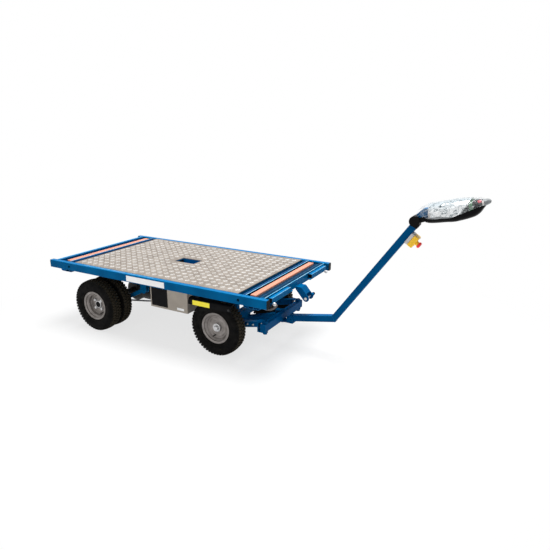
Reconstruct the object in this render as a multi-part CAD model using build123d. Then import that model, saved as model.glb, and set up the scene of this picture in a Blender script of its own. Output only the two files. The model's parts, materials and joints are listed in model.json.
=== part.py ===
"""Electric platform cart with a steered front axle, twin rear wheels and a bent tiller.

X points forward to the tiller, Y to the left and Z up, in millimetres. While the pieces are drawn,
X is counted from the middle of the platform and Z from the floor. At the end everything is moved
together, so that the origin is on the floor below the middle of the whole cart.
"""
import os
from math import atan2, cos, hypot, pi, radians, sin, tan

from build123d import *

# Platform
PLATFORM_LENGTH = 2000
PLATFORM_WIDTH = 1040
TYRE_CLEARANCE = 56
BEAM_HEIGHT = 60
BEAM_WIDTH = 40
BEAM_WALL = 3
BEAM_CORNER = 5
PLUG_HEAD = 4
PLUG_DEPTH = 15
PLUG_FIT = 0.2
LASHING_HOLE_INSET = 215
LASHING_HOLE_RADIUS = 10
CROSS_TUBE_INSET = 38
CROSS_TUBE_WIDTH = 30
DECK_GAP = 38
DECK_THICKNESS = 5
HATCH_X = -14
HATCH_LENGTH = 187
HATCH_WIDTH = 112
POCKET_DEPTH = 55
POCKET_WALL = 3
POCKET_CLEARANCE = 4.5
TROUGH_WALL = 4
TROUGH_WIDTH = 135
TROUGH_DEPTH = 90
TROUGH_CORNER = 22
TROUGH_FLANGE = 25
TIMBER_WIDTH = 45
TIMBER_THICKNESS = 22
TIMBER_CHAMFER = 4
TIMBER_SETBACK = 38
TIMBER_END_GAP = 12
TIMBER_RECESS = 2
MEMBER_OFFSET = 30
RAIL_SETBACK = 7
RAIL_Y = 150

# Front bumper tubes and the drawbar latch between them
BUMPER_DEPTH = 30
BUMPER_HEIGHT = 30
BUMPER_DROP = 9
BUMPER_WALL = 2.5
BUMPER_CORNER = 4
BUMPER_INNER_Y = 172
BUMPER_END_GAP = 42
BUMPER_PLATE = 6
BUMPER_PLATE_INNER_Y = 140
LATCH_WIDTH = 80
LATCH_WALL = 6
LATCH_DEPTH = 46
LATCH_REACH = 82
LATCH_DROP = 125
LATCH_TOP_DROP = 47
LATCH_WEB_END = 26
LATCH_LEAN = 41
LATCH_PIN_RADIUS = 7
LATCH_PIN_OVERHANG = 16
LATCH_KNOB_RADIUS = 13
LATCH_KNOB_LENGTH = 26

# Battery boxes and batteries
BOX_LENGTH = 352
BOX_DEPTH = 182
BOX_HEIGHT = 217
BOX_SETBACK = 449
BOX_FACE_Y = 365
BOX_WALL = 2
BOX_FLANGE_LAP = 15
BOX_CORNER = 6
BATTERY_HEIGHT = 195
BATTERY_GAP = 4

# Wheels
TYRE_RADIUS = 207
TYRE_WIDTH = 104
TREAD_WIDTH = 86
TREAD_DEPTH = 11
TREAD_LUGS = 30
LUG_TIP_LENGTH = 25
LUG_ROOT_LENGTH = 31
SHOULDER_DROP = 16
BEAD_LIP = 2
BEAD_RADIUS = 101.6
BEAD_FIT = 0.3
RIM_FLANGE_RADIUS = 115
RIM_WIDTH = 80
RIM_WALL = 4
RIM_DISC = 5
RIM_WELL_RADIUS = 88
RIM_WELL_HALF = 15
RIM_SEAT_START = 24
FRONT_DISH = 30
REAR_DISH = 47
FRONT_AXLE_X = 520
REAR_AXLE_X = -567
FRONT_WHEEL_Y = 370
REAR_OUTER_Y = 460
TWIN_SPACING = 118
RUNNING_FIT = 0.05
FACE_GAP = 1
STUB_RADIUS = 15
FRONT_HUB_RADIUS = 32
FRONT_HUB_CAP = 8
HUB_NUT_ACROSS = 30
HUB_NUT_HEIGHT = 14
REAR_HUB_RADIUS = 60
REAR_SHAFT_RADIUS = 18
REAR_SHAFT_GRIP = 70

# Front axle, knuckles and the tie bar
AXLE_BEAM_DEPTH = 60
AXLE_BEAM_HEIGHT = 50
AXLE_BEAM_WALL = 4
KINGPIN_Y = 262
KINGPIN_RADIUS = 12
BOSS_RADIUS = 23
BOSS_HEIGHT = 60
BEAM_END_SETBACK = 22
EAR_THICKNESS = 14
EAR_RADIUS = 26
KNUCKLE_WEB = 12
KNUCKLE_WEB_WIDTH = 60
WEB_CLEARANCE = 5
LEVER_SIZE = 40
LEVER_WALL = 3
LEVER_ROOT_REACH = 58
LEVER_ROOT_DROP = 1
LEVER_TIP_RISE = 16
CLEVIS_REACH = 44
CLEVIS_PLATE = 8
TIE_REACH = 320
TIE_DEPTH = 40
TIE_HEIGHT = 60
TIE_RISE = 23
TIE_WALL = 4
TIE_OVERHANG = 34
TIE_GAP = 2
TIE_PIN_RADIUS = 10
TIE_NUT_RADIUS = 15
TIE_NUT_HEIGHT = 12

# Drawbar head, drawbar and tiller
HEAD_EYE_DROP = 67
HEAD_EYE_RADIUS = 36
HEAD_LEVER_SIZE = 50
HEAD_LEVER_WALL = 4
HEAD_LEVER_DROP = 18
HEAD_PIN_RADIUS = 13
HEAD_PIN_NUT_RADIUS = 24
HEAD_PIN_NUT_HEIGHT = 10
TILT_REACH = 75
TILT_DROP = 4
TILT_PIN_RADIUS = 10
TILT_CHEEK = 6
TILT_SIDE_GAP = 2
TILT_CHEEK_RADIUS = 24
DRAWBAR_SIZE = 45
DRAWBAR_WALL = 4
LOWER_TUBE_REACH = 335
LOWER_TUBE_RISE = 60
UPPER_TUBE_RUN = 862
UPPER_TUBE_ANGLE = 55
COLLAR_RADIUS = 33
COLLAR_WIDTH = 78
COLLAR_BACKSET = 13
TILLER_RISE = 18
TILLER_SHIFT = -14
NECK_WIDTH = 52
NECK_HEIGHT = 40
NECK_CORNER = 12
NECK_RISE = 2
NECK_BLOCK_WIDTH = 48
NECK_BLOCK_START = 14
NECK_BLOCK_REAR_TOP = 34
NECK_BLOCK_FRONT_TOP = 54
TIP_WIDTH = 44
TIP_HEIGHT = 30
TIP_LENGTH = 16
TIP_CORNER = 10
KEY_RADIUS = 11
KEY_HEIGHT = 6
KEY_ALONG = 372
KEY_SIDE = 22
STOP_BOX_SETBACK = 33
STOP_BOX_LENGTH = 77
STOP_BOX_WIDTH = 70
STOP_BASE_HEIGHT = 21
STOP_COVER_HEIGHT = 34
STOP_COLLAR_RADIUS = 15
STOP_COLLAR_HEIGHT = 16
STOP_BUTTON_RADIUS = 20
STOP_BUTTON_HEIGHT = 18

# Rear drive axle and its links
DRIVE_TUBE_RADIUS = 35
DRIVE_TUBE_HALF = 276
DIFFERENTIAL_RADIUS = 92
DIFFERENTIAL_WIDTH = 130
MOTOR_RADIUS = 74
MOTOR_LENGTH = 235
CLAMP_WIDTH = 44
CLAMP_LENGTH = 86
CLAMP_HEIGHT = 96
ARM_Y = 250
ARM_WIDTH = 24
ARM_HEIGHT = 30
ARM_EYE_RADIUS = 20
ARM_PIN_RADIUS = 8
ARM_PIVOT_SETBACK = 160
ARM_PIVOT_RISE = 111
HANGER_PLATE = 6
HANGER_WIDTH = 76
HANGER_RADIUS = 28
ROD_RADIUS = 7
ROD_Y = 215
ROD_DROP = 16
ROD_REAR_DROP = 31
ROD_LUG = 30
ROD_LUG_THICKNESS = 10

# Wheel guards
GUARD_LENGTH = 350
GUARD_AHEAD = 20
GUARD_CLEARANCE = 22
GUARD_SHEET = 4
GUARD_BEND = 26
GUARD_INNER_Y = 320
GUARD_INSET = 18
GUARD_SKIRT = 48
STRAP_WIDTH = 30
STRAP_SPREAD = 110
STRAP_LAP = 32

# Places that several pieces share
DECK_HEIGHT = 2 * TYRE_RADIUS + TYRE_CLEARANCE + BEAM_HEIGHT
HALF_WIDTH = PLATFORM_WIDTH / 2
BEAM_INNER_Y = HALF_WIDTH - BEAM_WIDTH
BEAM_BOTTOM = DECK_HEIGHT - BEAM_HEIGHT
DECK_UNDERSIDE = DECK_HEIGHT - DECK_THICKNESS
MEMBER_BOTTOM = DECK_UNDERSIDE - BEAM_HEIGHT
RAIL_BOTTOM = MEMBER_BOTTOM - BEAM_HEIGHT
CROSS_OUTER_X = PLATFORM_LENGTH / 2 - CROSS_TUBE_INSET
CROSS_INNER_X = CROSS_OUTER_X - CROSS_TUBE_WIDTH
TROUGH_INNER_X = CROSS_INNER_X - TROUGH_WIDTH
TROUGH_BOTTOM = DECK_HEIGHT - TROUGH_DEPTH
DECK_END_X = TROUGH_INNER_X - DECK_GAP
AXLE_Z = TYRE_RADIUS
TIE_X = FRONT_AXLE_X + TIE_REACH
TIE_MIDDLE_Z = AXLE_Z + TIE_RISE
BOX_MIDDLE_X = FRONT_AXLE_X - BOX_SETBACK
BOX_BOTTOM = MEMBER_BOTTOM - BOX_HEIGHT
ARM_PIVOT_X = BOX_MIDDLE_X - BOX_LENGTH / 2 - ARM_PIVOT_SETBACK
TIE_TOP = TIE_MIDDLE_Z + TIE_HEIGHT / 2
TIE_BOTTOM = TIE_MIDDLE_Z - TIE_HEIGHT / 2

parts = {}


def block(x, y, z):
    """A box between two corners, each axis given as a (low, high) pair."""
    spans = (x, y, z)
    size = [high - low for low, high in spans]
    middle = [(low + high) / 2 for low, high in spans]
    return Pos(*middle) * Box(*size)


def around(middle, length):
    """The (low, high) pair of a length centred on a place."""
    return middle - length / 2, middle + length / 2


def rod(radius, start, end):
    """A round bar from one point to another."""
    run = Vector(*end) - Vector(*start)
    return extrude(Plane(origin=start, z_dir=run) * Circle(radius), run.length)


def hollow_bar(length, width, height, wall, corner=BEAM_CORNER):
    """A rectangular tube along X through the origin."""
    inner = RectangleRounded(width - 2 * wall, height - 2 * wall, max(corner - wall, 0.5))
    return extrude(Plane.YZ * (RectangleRounded(width, height, corner) - inner), length / 2, both=True)


def mirrored(shape):
    """The same piece on the other side of the cart."""
    return mirror(shape, about=Plane.XZ)


def pair(shape):
    """A piece and its mirror image as the two solids of one node."""
    return Compound([*shape.solids(), *mirrored(shape).solids()])


def group(shapes):
    """Several separate solids as one node."""
    return Compound([solid for shape in shapes for solid in shape.solids()])


def side_outline(points):
    """A face in the plane of X and Z."""
    return make_face(Polyline([(x, 0, z) for x, z in points], close=True))


def spread(face, width, middle=0):
    """A side outline made as thick as a width along Y."""
    return Pos(0, middle, 0) * extrude(face, width / 2, both=True, dir=(0, 1, 0))


def turned(profile):
    """A wheel piece turned about Y from points of (offset along Y, radius)."""
    outline = make_face(Polyline([(0, offset, radius) for offset, radius in profile], close=True))
    return revolve(outline, Axis.Y)


# Platform frame
def side_beam():
    length = PLATFORM_LENGTH - 2 * PLUG_HEAD
    middle = (0, -(BEAM_INNER_Y + BEAM_WIDTH / 2), BEAM_BOTTOM + BEAM_HEIGHT / 2)
    beam = Pos(*middle) * hollow_bar(length, BEAM_WIDTH, BEAM_HEIGHT, BEAM_WALL)
    hole_x = PLATFORM_LENGTH / 2 - LASHING_HOLE_INSET
    for x in (-hole_x, hole_x):
        beam -= rod(LASHING_HOLE_RADIUS, (x, -HALF_WIDTH - 1, middle[2]), (x, -BEAM_INNER_Y + 1, middle[2]))
    return beam


def beam_end_plug():
    """A plastic cap with a tongue that goes into the beam, for the front right end."""
    clear = BEAM_WALL + PLUG_FIT
    head = RectangleRounded(BEAM_WIDTH, BEAM_HEIGHT, BEAM_CORNER)
    tongue = RectangleRounded(BEAM_WIDTH - 2 * clear, BEAM_HEIGHT - 2 * clear, 2)
    plug = extrude(Plane.YZ * head, PLUG_HEAD) + extrude(Plane.YZ * tongue, -PLUG_DEPTH)
    middle_y = -(BEAM_INNER_Y + BEAM_WIDTH / 2)
    return Pos(PLATFORM_LENGTH / 2 - PLUG_HEAD, middle_y, BEAM_BOTTOM + BEAM_HEIGHT / 2) * plug


def end_cross_tube(side):
    bar = Rot(0, 0, 90) * hollow_bar(2 * BEAM_INNER_Y, CROSS_TUBE_WIDTH, BEAM_HEIGHT, BEAM_WALL)
    return Pos(side * (CROSS_INNER_X + CROSS_TUBE_WIDTH / 2), 0, BEAM_BOTTOM + BEAM_HEIGHT / 2) * bar


def deck_plate():
    plate = block((-DECK_END_X, DECK_END_X), (-BEAM_INNER_Y, BEAM_INNER_Y), (DECK_UNDERSIDE, DECK_HEIGHT))
    through = (DECK_UNDERSIDE - 1, DECK_HEIGHT + 1)
    hatch = block(around(HATCH_X, HATCH_LENGTH), around(0, HATCH_WIDTH), through)
    return plate - hatch


def deck_pocket():
    outside = 2 * POCKET_WALL
    bottom = DECK_UNDERSIDE - POCKET_DEPTH
    shell = block(
        around(HATCH_X, HATCH_LENGTH + outside), around(0, HATCH_WIDTH + outside), (bottom, DECK_UNDERSIDE)
    )
    inside = block(
        around(HATCH_X, HATCH_LENGTH), around(0, HATCH_WIDTH), (bottom + POCKET_WALL, DECK_UNDERSIDE + 1)
    )
    return shell - inside


TIMBER_X = (TROUGH_INNER_X + TIMBER_SETBACK, TROUGH_INNER_X + TIMBER_SETBACK + TIMBER_WIDTH)
TIMBER_TOP = DECK_HEIGHT - TIMBER_RECESS
TIMBER_BOTTOM = TIMBER_TOP - TIMBER_THICKNESS


def end_trough(side):
    """A pressed channel with round bottom corners, a top flange and a raised hollow seat for the timber."""
    y = (-BEAM_INNER_Y, BEAM_INNER_Y)
    floor = TROUGH_BOTTOM + TROUGH_WALL

    def round_bottomed(x, z, corner):
        solid = block(x, y, z)
        return fillet(solid.edges().filter_by(Axis.Y).group_by(Axis.Z)[0], corner)

    trough = round_bottomed((TROUGH_INNER_X, CROSS_INNER_X), (TROUGH_BOTTOM, DECK_HEIGHT), TROUGH_CORNER)
    trough -= round_bottomed(
        (TROUGH_INNER_X + TROUGH_WALL, CROSS_INNER_X - TROUGH_WALL),
        (floor, DECK_HEIGHT + TROUGH_CORNER),
        TROUGH_CORNER - TROUGH_WALL,
    )
    flange_x = (TROUGH_INNER_X, TROUGH_INNER_X + TROUGH_FLANGE)
    trough += block(flange_x, y, (DECK_HEIGHT - TROUGH_WALL, DECK_HEIGHT))
    trough += block(TIMBER_X, y, (floor, TIMBER_BOTTOM))
    trough -= block(
        (TIMBER_X[0] + TROUGH_WALL, TIMBER_X[1] - TROUGH_WALL), y, (floor, TIMBER_BOTTOM - TROUGH_WALL)
    )
    return trough if side > 0 else mirror(trough, about=Plane.YZ)


def timber_strip(side):
    strip = block(TIMBER_X, around(0, 2 * (BEAM_INNER_Y - TIMBER_END_GAP)), (TIMBER_BOTTOM, TIMBER_TOP))
    strip = chamfer(strip.faces().sort_by(Axis.Z)[-1].edges(), TIMBER_CHAMFER)
    return strip if side > 0 else mirror(strip, about=Plane.YZ)


END_MEMBER_X = DECK_END_X - BEAM_WIDTH / 2
BOX_REAR_MEMBER_X = HATCH_X - HATCH_LENGTH / 2 - POCKET_WALL - POCKET_CLEARANCE - BEAM_WIDTH / 2
BOX_FRONT_MEMBER_X = BOX_MIDDLE_X + BOX_LENGTH / 2 + MEMBER_OFFSET
MEMBER_X = (-END_MEMBER_X, ARM_PIVOT_X, BOX_REAR_MEMBER_X, BOX_FRONT_MEMBER_X, END_MEMBER_X)


def deck_cross_member(x):
    bar = Rot(0, 0, 90) * hollow_bar(2 * BEAM_INNER_Y, BEAM_WIDTH, BEAM_HEIGHT, BEAM_WALL)
    return Pos(x, 0, MEMBER_BOTTOM + BEAM_HEIGHT / 2) * bar


def chassis_rail():
    return Pos(0, -RAIL_Y, RAIL_BOTTOM + BEAM_HEIGHT / 2) * hollow_bar(
        2 * (DECK_END_X - RAIL_SETBACK), BEAM_WIDTH, BEAM_HEIGHT, BEAM_WALL
    )


# Front bumper tubes and drawbar latch
BUMPER_TOP = DECK_HEIGHT - BUMPER_DROP
BUMPER_BOTTOM = BUMPER_TOP - BUMPER_HEIGHT
BUMPER_OUTER_Y = BEAM_INNER_Y - BUMPER_END_GAP


def bumper_tube():
    length = BUMPER_OUTER_Y - BUMPER_INNER_Y
    bar = Rot(0, 0, 90) * hollow_bar(length, BUMPER_DEPTH, BUMPER_HEIGHT, BUMPER_WALL, BUMPER_CORNER)
    middle_y = -(BUMPER_OUTER_Y + BUMPER_INNER_Y) / 2
    return Pos(CROSS_OUTER_X + BUMPER_DEPTH / 2, middle_y, BUMPER_TOP - BUMPER_HEIGHT / 2) * bar


def bumper_tube_plugs():
    """A cap with a tongue for each end of the right bumper tube."""
    clear = 2 * (BUMPER_WALL + PLUG_FIT)
    tongue = RectangleRounded(BUMPER_DEPTH - clear, BUMPER_HEIGHT - clear, BUMPER_WALL)
    head = RectangleRounded(BUMPER_DEPTH, BUMPER_HEIGHT, BUMPER_CORNER)
    plane = Plane(origin=(0, 0, 0), x_dir=(1, 0, 0), z_dir=(0, 1, 0))
    plug = extrude(plane * head, PLUG_HEAD) + extrude(plane * tongue, -PLUG_DEPTH)
    x = CROSS_OUTER_X + BUMPER_DEPTH / 2
    z = BUMPER_TOP - BUMPER_HEIGHT / 2
    return [
        Pos(x, -BUMPER_INNER_Y, z) * plug,
        Pos(x, -BUMPER_OUTER_Y, z) * mirrored(plug),
    ]


def bumper_plate():
    """A flat gusset under the bumper tube, with its inner end cut at a slant."""
    back = CROSS_OUTER_X
    front = CROSS_OUTER_X + BUMPER_DEPTH
    outline = Polyline(
        (back, -BUMPER_OUTER_Y),
        (front, -BUMPER_OUTER_Y),
        (front, -BUMPER_PLATE_INNER_Y),
        (back, -BUMPER_INNER_Y),
        close=True,
    )
    plate = extrude(make_face(outline), -BUMPER_PLATE)
    return Pos(0, 0, BUMPER_BOTTOM) * plate


LATCH_END_X = CROSS_OUTER_X + LATCH_REACH
LATCH_END_Z = DECK_HEIGHT - LATCH_DROP
LATCH_TOP = DECK_HEIGHT - LATCH_TOP_DROP


def on_latch(along, out):
    """The (x, z) place at a distance up the leaning latch from its pin and out towards its front."""
    lean = radians(LATCH_LEAN)
    x = LATCH_END_X - along * sin(lean) + out * cos(lean)
    return x, LATCH_END_Z + along * cos(lean) + out * sin(lean)


def latch_run(out, height):
    """How far up the latch a line at a given distance out reaches a height."""
    lean = radians(LATCH_LEAN)
    return (height - LATCH_END_Z - out * sin(lean)) / cos(lean)


def drawbar_latch():
    """A leaning channel on the front cross tube: a top plate, a front web and two cheeks with round ends."""
    half = LATCH_DEPTH / 2
    back_run = (LATCH_REACH - half * cos(radians(LATCH_LEAN))) / sin(radians(LATCH_LEAN))
    outline = [(CROSS_OUTER_X, LATCH_TOP), on_latch(latch_run(half, LATCH_TOP), half)]
    outline += [on_latch(0, half), on_latch(0, -half), on_latch(back_run, -half)]
    body = spread(side_outline(outline), LATCH_WIDTH)
    x, z = on_latch(0, 0)
    body += rod(half, (x, -LATCH_WIDTH / 2, z), (x, LATCH_WIDTH / 2, z))
    behind = half - LATCH_WALL
    beyond = 2 * LATCH_DEPTH
    ceiling = LATCH_TOP - LATCH_WALL
    inside = [on_latch(-beyond, -beyond), on_latch(-beyond, beyond), on_latch(LATCH_WEB_END, beyond)]
    inside += [on_latch(LATCH_WEB_END, behind), on_latch(latch_run(behind, ceiling), behind)]
    inside += [(CROSS_OUTER_X - 1, ceiling), (CROSS_OUTER_X - 1, LATCH_END_Z - beyond)]
    body -= spread(side_outline(inside), LATCH_WIDTH - 2 * LATCH_WALL)
    return body - rod(LATCH_PIN_RADIUS, (x, -LATCH_WIDTH, z), (x, LATCH_WIDTH, z))


def latch_pin():
    """The cross pin with a flat head on the right and a knob on the left."""
    half = LATCH_WIDTH / 2
    z = LATCH_END_Z
    x = LATCH_END_X
    shaft = rod(LATCH_PIN_RADIUS - RUNNING_FIT, (x, -half - FACE_GAP, z), (x, half + LATCH_PIN_OVERHANG, z))
    head = rod(LATCH_PIN_RADIUS + 3, (x, -half - FACE_GAP - 4, z), (x, -half - FACE_GAP / 2, z))
    knob_start = half + LATCH_PIN_OVERHANG - 4
    knob = rod(LATCH_KNOB_RADIUS, (x, knob_start, z), (x, knob_start + LATCH_KNOB_LENGTH, z))
    knob = fillet(knob.edges(), 4)
    return shaft + head + knob


# Battery boxes
def battery_box():
    """An open sheet tray hung by its end flanges under two deck cross members."""
    x = around(BOX_MIDDLE_X, BOX_LENGTH)
    y = (-BOX_FACE_Y, -BOX_FACE_Y + BOX_DEPTH)
    shell = block(x, y, (BOX_BOTTOM, MEMBER_BOTTOM))
    shell = fillet(shell.edges().filter_by(Axis.Z), BOX_CORNER)
    inside = block(
        (x[0] + BOX_WALL, x[1] - BOX_WALL),
        (y[0] + BOX_WALL, y[1] - BOX_WALL),
        (BOX_BOTTOM + BOX_WALL, MEMBER_BOTTOM + 1),
    )
    inside = fillet(inside.edges().filter_by(Axis.Z), BOX_CORNER - BOX_WALL)
    flange_z = (MEMBER_BOTTOM - BOX_WALL, MEMBER_BOTTOM)
    flange_y = (y[0] + BOX_CORNER, y[1] - BOX_CORNER)
    flanges = block((BOX_REAR_MEMBER_X - BOX_FLANGE_LAP, x[0] + BOX_WALL), flange_y, flange_z)
    flanges += block((x[1] - BOX_WALL, BOX_FRONT_MEMBER_X + BOX_FLANGE_LAP), flange_y, flange_z)
    lug = block((x[0], x[0] + ROD_LUG), around(-ROD_Y, ROD_LUG_THICKNESS), (BOX_BOTTOM - ROD_LUG, BOX_BOTTOM))
    return shell - inside + flanges + lug


def battery():
    x = around(BOX_MIDDLE_X, BOX_LENGTH - 2 * (BOX_WALL + BATTERY_GAP))
    y = (-BOX_FACE_Y + BOX_WALL + BATTERY_GAP, -BOX_FACE_Y + BOX_DEPTH - BOX_WALL - BATTERY_GAP)
    floor = BOX_BOTTOM + BOX_WALL
    return block(x, y, (floor, floor + BATTERY_HEIGHT))


# Wheels, drawn at the origin with their outer side towards minus Y
BULGE_RADIUS = (TYRE_RADIUS + BEAD_RADIUS) / 2
TYRE_HALF = TYRE_WIDTH / 2
TREAD_HALF = TREAD_WIDTH / 2
RIM_HALF = RIM_WIDTH / 2
BEAD_HALF = RIM_HALF - RIM_WALL - BEAD_FIT


def tyre_section(offset, radius):
    """A polygon with a flat below each lug, at an offset along Y and a radius measured to its flats."""
    plane = Plane(origin=(0, offset, 0), x_dir=(1, 0, 0), z_dir=(0, 1, 0))
    return plane * RegularPolygon(radius, TREAD_LUGS, major_radius=False, rotation=180 / TREAD_LUGS)


def tread_ring():
    """The lugs and the grooves between them, with the flat top of one lug at the foot of the wheel."""
    tip = LUG_TIP_LENGTH / 2 / TYRE_RADIUS
    groove_radius = TYRE_RADIUS - TREAD_DEPTH
    root = LUG_ROOT_LENGTH / 2 / groove_radius
    tip_radius = TYRE_RADIUS / cos(tip)
    lug_corners = ((-root, groove_radius), (-tip, tip_radius), (tip, tip_radius), (root, groove_radius))
    points = []
    for lug in range(TREAD_LUGS):
        middle = 2 * pi * lug / TREAD_LUGS - pi / 2
        for turn, radius in lug_corners:
            points.append((radius * cos(middle + turn), -TREAD_HALF, radius * sin(middle + turn)))
    return extrude(make_face(Polyline(points, close=True)), TREAD_WIDTH, dir=(0, 1, 0))


def tyre():
    """A carcass with bulged side walls on the rim's bead seat, and the tread's lugs around it."""
    shoulder = TYRE_RADIUS - SHOULDER_DROP
    half = [tyre_section(-TYRE_HALF, BULGE_RADIUS), tyre_section(-TREAD_HALF, shoulder)]
    other_half = [tyre_section(TREAD_HALF, shoulder), tyre_section(TYRE_HALF, BULGE_RADIUS)]
    carcass = loft(half + other_half, ruled=True) + tread_ring()
    for side in (-1, 1):
        bead = tyre_section(side * BEAD_HALF, RIM_FLANGE_RADIUS + BEAD_LIP)
        carcass -= loft([tyre_section(side * TYRE_HALF, BULGE_RADIUS), bead], ruled=True)
    return carcass - extrude(tyre_section(0, BEAD_RADIUS + BEAD_FIT), TYRE_WIDTH, both=True)


def rim(dish, hub_radius):
    """A pressed rim: two flanges, two bead seats, a drop centre and a disc set back by its dish."""
    disc = -RIM_HALF + dish
    seat = BEAD_RADIUS
    well = RIM_WELL_RADIUS
    lip = RIM_HALF - RIM_WALL
    inner_slope = RIM_WALL / 2
    outside = [
        (-RIM_HALF, RIM_FLANGE_RADIUS),
        (-lip, RIM_FLANGE_RADIUS),
        (-lip, seat),
        (-RIM_SEAT_START, seat),
        (-RIM_WELL_HALF, well),
    ]
    inside = [
        (disc, hub_radius),
        (disc, well - RIM_WALL),
        (-RIM_WELL_HALF - inner_slope, well - RIM_WALL),
        (-RIM_SEAT_START - inner_slope, seat - RIM_WALL),
        (-RIM_HALF, seat - RIM_WALL),
    ]
    far_side = [
        (RIM_HALF, seat - RIM_WALL),
        (RIM_SEAT_START + inner_slope, seat - RIM_WALL),
        (RIM_WELL_HALF + inner_slope, well - RIM_WALL),
        (disc + RIM_DISC, well - RIM_WALL),
        (disc + RIM_DISC, hub_radius),
    ]
    return turned(outside + [(-offset, radius) for offset, radius in reversed(outside)] + far_side + inside)


FRONT_DISC = -RIM_HALF + FRONT_DISH
REAR_DISC = -RIM_HALF + REAR_DISH
STUB_END = FRONT_DISC - 4


def front_hub():
    """A bearing hub on the stub axle, with a cap and a nut outside."""
    inner = RIM_HALF
    outer = STUB_END - FACE_GAP - FRONT_HUB_CAP
    hub = rod(FRONT_HUB_RADIUS, (0, outer, 0), (0, inner, 0))
    hub -= rod(STUB_RADIUS + RUNNING_FIT, (0, STUB_END - FACE_GAP, 0), (0, inner + 1, 0))
    plane = Plane(origin=(0, outer, 0), z_dir=(0, -1, 0))
    nut = extrude(plane * RegularPolygon(HUB_NUT_ACROSS / 2, 6, major_radius=False), HUB_NUT_HEIGHT)
    return hub + nut


def rear_hub():
    """A drum between the two rim discs, with the half shaft that enters the axle tube."""
    outer = REAR_OUTER_Y - REAR_DISC
    inner = REAR_OUTER_Y - TWIN_SPACING + REAR_DISC
    drum = rod(REAR_HUB_RADIUS, (0, -outer + RIM_DISC, 0), (0, -inner - RIM_DISC, 0))
    spigot = rod(REAR_SHAFT_RADIUS + 12, (0, -outer - 10, 0), (0, -inner + 10, 0))
    shaft = rod(REAR_SHAFT_RADIUS, (0, -inner, 0), (0, -DRIVE_TUBE_HALF + REAR_SHAFT_GRIP, 0))
    return drum + spigot + shaft


# Front axle
AXLE_TOP = AXLE_Z + AXLE_BEAM_HEIGHT / 2
AXLE_BOTTOM = AXLE_Z - AXLE_BEAM_HEIGHT / 2
HEAD_EYE_HALF = HEAD_LEVER_SIZE / 2
HEAD_EYE_Z = AXLE_Z - HEAD_EYE_DROP
HEAD_EYE_TOP = HEAD_EYE_Z + HEAD_EYE_HALF
HEAD_EYE_BOTTOM = HEAD_EYE_Z - HEAD_EYE_HALF


def front_axle_beam():
    """The cross tube with a kingpin boss at each end and the drawbar's pivot pin below its middle."""
    length = 2 * (KINGPIN_Y - BEAM_END_SETBACK)
    tube = Rot(0, 0, 90) * hollow_bar(length, AXLE_BEAM_DEPTH, AXLE_BEAM_HEIGHT, AXLE_BEAM_WALL)
    beam = Pos(FRONT_AXLE_X, 0, AXLE_Z) * tube
    for y in (-KINGPIN_Y, KINGPIN_Y):
        low = (FRONT_AXLE_X, y, AXLE_Z - BOSS_HEIGHT / 2)
        high = (FRONT_AXLE_X, y, AXLE_Z + BOSS_HEIGHT / 2)
        beam += rod(BOSS_RADIUS, low, high)
        beam -= rod(KINGPIN_RADIUS + RUNNING_FIT, low, high)
    x = FRONT_AXLE_X
    beam += rod(HEAD_EYE_RADIUS, (x, 0, HEAD_EYE_TOP + FACE_GAP), (x, 0, AXLE_BOTTOM + AXLE_BEAM_WALL))
    nut_top = HEAD_EYE_BOTTOM - FACE_GAP
    beam += rod(HEAD_PIN_RADIUS, (x, 0, nut_top - HEAD_PIN_NUT_HEIGHT), (x, 0, AXLE_BOTTOM + AXLE_BEAM_WALL))
    beam += rod(HEAD_PIN_NUT_RADIUS, (x, 0, nut_top - HEAD_PIN_NUT_HEIGHT), (x, 0, nut_top))
    return beam


def front_axle_leg():
    post = Rot(0, 90, 0) * hollow_bar(RAIL_BOTTOM - AXLE_TOP, BEAM_WIDTH, AXLE_BEAM_DEPTH, AXLE_BEAM_WALL)
    return Pos(FRONT_AXLE_X, -RAIL_Y, (RAIL_BOTTOM + AXLE_TOP) / 2) * post


EAR_GAP = BOSS_HEIGHT / 2 + FACE_GAP
EAR_TOP = AXLE_Z + EAR_GAP + EAR_THICKNESS
EAR_BOTTOM = AXLE_Z - EAR_GAP - EAR_THICKNESS
WEB_INNER_Y = KINGPIN_Y + BOSS_RADIUS + WEB_CLEARANCE
WEB_OUTER_Y = WEB_INNER_Y + KNUCKLE_WEB
LEVER_ROOT_X = FRONT_AXLE_X + LEVER_ROOT_REACH


def knuckle():
    """Two ears on the kingpin, a web that carries the stub axle and a web that carries the lever."""
    x = FRONT_AXLE_X
    half_web = KNUCKLE_WEB_WIDTH / 2
    plan = Pos(x, -KINGPIN_Y) * Circle(EAR_RADIUS)
    plan += Pos(x, -(KINGPIN_Y + WEB_OUTER_Y) / 2) * Rectangle(KNUCKLE_WEB_WIDTH, WEB_OUTER_Y - KINGPIN_Y)
    reach = LEVER_ROOT_REACH + KNUCKLE_WEB
    plan += Pos(x + reach / 2, -KINGPIN_Y) * Rectangle(reach, LEVER_SIZE)
    body = Pos(0, 0, EAR_BOTTOM) * extrude(plan, EAR_THICKNESS)
    body += Pos(0, 0, EAR_TOP - EAR_THICKNESS) * extrude(plan, EAR_THICKNESS)
    body += block((x - half_web, x + half_web), (-WEB_OUTER_Y, -WEB_INNER_Y), (EAR_BOTTOM, EAR_TOP))
    body += block(
        (LEVER_ROOT_X, LEVER_ROOT_X + KNUCKLE_WEB), around(-KINGPIN_Y, LEVER_SIZE), (EAR_BOTTOM, EAR_TOP)
    )
    body += rod(KINGPIN_RADIUS, (x, -KINGPIN_Y, EAR_BOTTOM - 4), (x, -KINGPIN_Y, EAR_TOP + 4))
    stub_end = -(FRONT_WHEEL_Y - STUB_END)
    body += rod(STUB_RADIUS, (x, stub_end, AXLE_Z), (x, -WEB_INNER_Y, AXLE_Z))
    return body


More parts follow.
